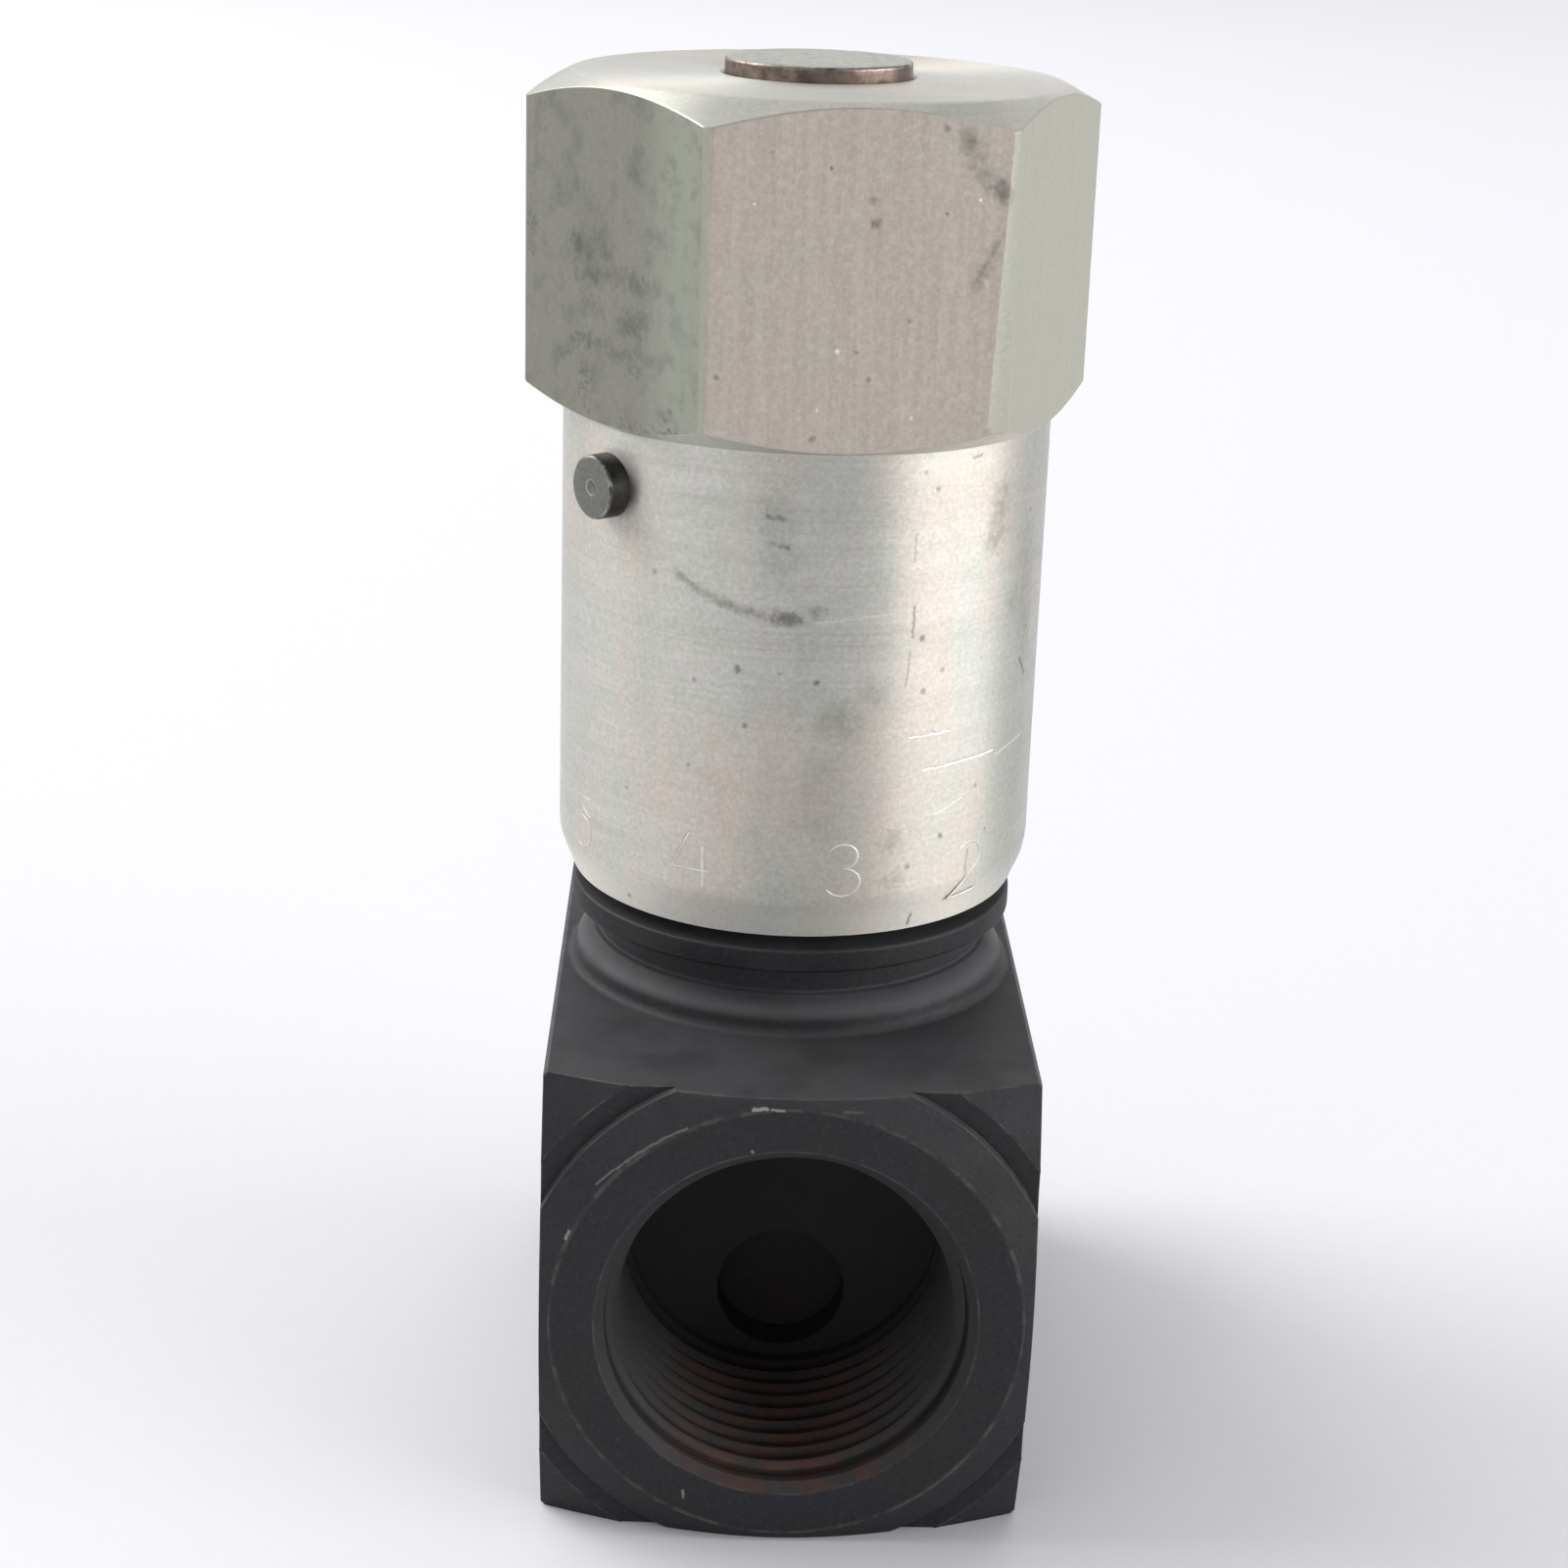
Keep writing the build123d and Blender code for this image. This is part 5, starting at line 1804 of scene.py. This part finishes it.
@dataclass(frozen=True)
class SoftBox:
    """Rectangular light that faces the valve.

    Attributes:
        name: Name of the light.
        azimuth_deg: Where it hangs, round Z from X.
        elevation_deg: How high it hangs.
        distance: Distance from the point that it faces, in metres.
        size: Width and height, in metres.
        brightness: How bright its face is, where 1 is paper white in the picture.
    """

    name: str
    azimuth_deg: float
    elevation_deg: float
    distance: float
    size: tuple[float, float]
    brightness: float

    def hang(self, aim: tuple[float, float, float]) -> None:
        """Hangs the light.

        Args:
            aim: Point that it faces, in metres.
        """
        azimuth, elevation = math.radians(self.azimuth_deg), math.radians(self.elevation_deg)
        away = Vector((math.cos(azimuth) * math.cos(elevation),
                       math.sin(azimuth) * math.cos(elevation), math.sin(elevation)))
        box = bpy.data.lights.new(self.name, "AREA")
        box.shape = "RECTANGLE"
        box.size, box.size_y = self.size
        # A watt for every quarter of a square metre shows as a brightness of one.
        box.energy = 4 * self.size[0] * self.size[1] * self.brightness
        light = bpy.data.objects.new(self.name, box)
        place = Vector(aim) + away * self.distance
        light.matrix_world = (Matrix.Translation(place)
                              @ (-away).to_track_quat("-Z", "Y").to_matrix().to_4x4())
        bpy.context.scene.collection.objects.link(light)


@dataclass
class Studio:
    """Camera, floor, room and lights.

    Attributes:
        eye_mm: Where the camera stands, in mm.
        yaw: Turn of its view from Y towards X, in radians.
        pitch: Tilt of its view above level, in radians.
        roll: Roll of its picture, in radians.
        lens: Focal length, in mm.
        floor_half: Half of the floor's side, in metres.
        floor_fade: Distances from the axis from where to where the floor fades away, in mm.
        horizon: Brightness of the room at the horizon.
        overhead: Brightness of the room overhead.
        room_fade: Sines of the elevations from where to where the one gives way to the other.
        aim: Point that the lights face, in metres.
        lights: The lights.
    """

    eye_mm: tuple[float, float, float] = (-8.28, -275.43, 157.73)
    yaw: float = 0.0266
    pitch: float = -0.3333
    roll: float = 0.0341
    lens: float = 68.6
    floor_half: float = 3.0
    floor_fade: tuple[float, float] = (1500.0, 2900.0)
    horizon: float = 0.95
    overhead: float = 0.33
    room_fade: tuple[float, float] = (0.05, 0.48)
    aim: tuple[float, float, float] = (0.0, 0.0, 0.06)
    lights: tuple[SoftBox, ...] = (
        SoftBox("left_box", 160.0, 40.0, 3.0, (2.2, 2.2), 3.4),
        SoftBox("right_box", -18.0, 10.0, 4.0, (4.4, 2.0), 3.7),
        SoftBox("front_box", -140.0, 12.0, 4.0, (4.0, 1.8), 0.65),
        SoftBox("back_box", 92.0, 30.0, 5.2, (6.8, 3.2), 0.6),
        SoftBox("top_box", 90.0, 84.0, 4.4, (3.2, 3.2), 0.85),
    )

    def camera(self) -> None:
        """Sets the camera where the photograph was taken."""
        forward = Vector((math.sin(self.yaw) * math.cos(self.pitch),
                          math.cos(self.yaw) * math.cos(self.pitch), math.sin(self.pitch)))
        level = Vector((math.cos(self.yaw), -math.sin(self.yaw), 0.0))
        above = level.cross(forward)
        right = math.cos(self.roll) * level + math.sin(self.roll) * above
        up = -math.sin(self.roll) * level + math.cos(self.roll) * above
        seen = bpy.data.cameras.new("camera")
        seen.lens = self.lens
        seen.sensor_width = 36.0
        seen.clip_start = 0.01
        camera = bpy.data.objects.new("camera", seen)
        turn = Matrix((right, up, -forward)).transposed().to_4x4()
        camera.matrix_world = Matrix.Translation(Vector(self.eye_mm) * MM) @ turn
        bpy.context.scene.collection.objects.link(camera)
        bpy.context.scene.camera = camera

    def floor(self) -> None:
        """Lays the pale floor."""
        made = bmesh.new()
        bmesh.ops.create_grid(made, x_segments=1, y_segments=1, size=self.floor_half)
        mesh = bpy.data.meshes.new("floor")
        made.to_mesh(mesh)
        made.free()
        floor = bpy.data.objects.new("floor", mesh)
        bpy.context.scene.collection.objects.link(floor)
        s = Surface.start("pale_card")
        shade = s.painted("#efeff3", Layer("#eeeef2", 1.0, (s.blotches(2.0, 0.35, 0.65),)))
        # Far from the valve the card gives way to the room, so that no edge shows.
        radius, _ = s.from_axis(s.place[0], s.place[1])
        far = add(s.tree, "ShaderNodeMapRange", {0: radius, **ramp(*self.floor_fade)},
                  interpolation_type="SMOOTHSTEP")
        card = add(s.tree, "ShaderNodeBsdfPrincipled", {"Base Color": shade, "Roughness": 0.8})
        seen = add(s.tree, "ShaderNodeMixShader",
                   {0: far, 1: card, 2: add(s.tree, "ShaderNodeBsdfTransparent")})
        add(s.tree, "ShaderNodeOutputMaterial", {"Surface": seen})
        dress(floor, s.material)

    def room(self) -> None:
        """Puts a pale room round the floor, brightest at the horizon where the two meet."""
        world = bpy.data.worlds.new("pale_room")
        world.use_nodes = True
        tree = world.node_tree
        tree.nodes.clear()
        toward = add(tree, "ShaderNodeSeparateXYZ", {0: add(tree, "ShaderNodeTexCoord")})
        level = add(tree, "ShaderNodeMath", {0: toward.outputs[2]}, operation="ABSOLUTE")
        glow = add(tree, "ShaderNodeMapRange",
                   {0: level, **ramp(*self.room_fade, self.horizon, self.overhead)},
                   interpolation_type="SMOOTHSTEP")
        pale = add(tree, "ShaderNodeBackground", {"Color": linear("#f3f4f8"), "Strength": glow})
        add(tree, "ShaderNodeOutputWorld", {"Surface": pale})
        bpy.context.scene.world = world

    def build(self) -> None:
        """Sets the camera, the floor, the pale room and the lights."""
        self.camera()
        self.floor()
        self.room()
        for light in self.lights:
            light.hang(self.aim)
        bpy.context.scene.view_settings.view_transform = "Standard"


def main() -> None:
    """Builds and dresses the valve, then the studio."""
    logging.basicConfig(level=logging.INFO)
    for assembly in (ValveBody(), Knob(), MeteringCartridge()):
        LOG.info("building %s", type(assembly).__name__)
        assembly.assemble()
    Studio().build()


if __name__ == "__main__":
    main()
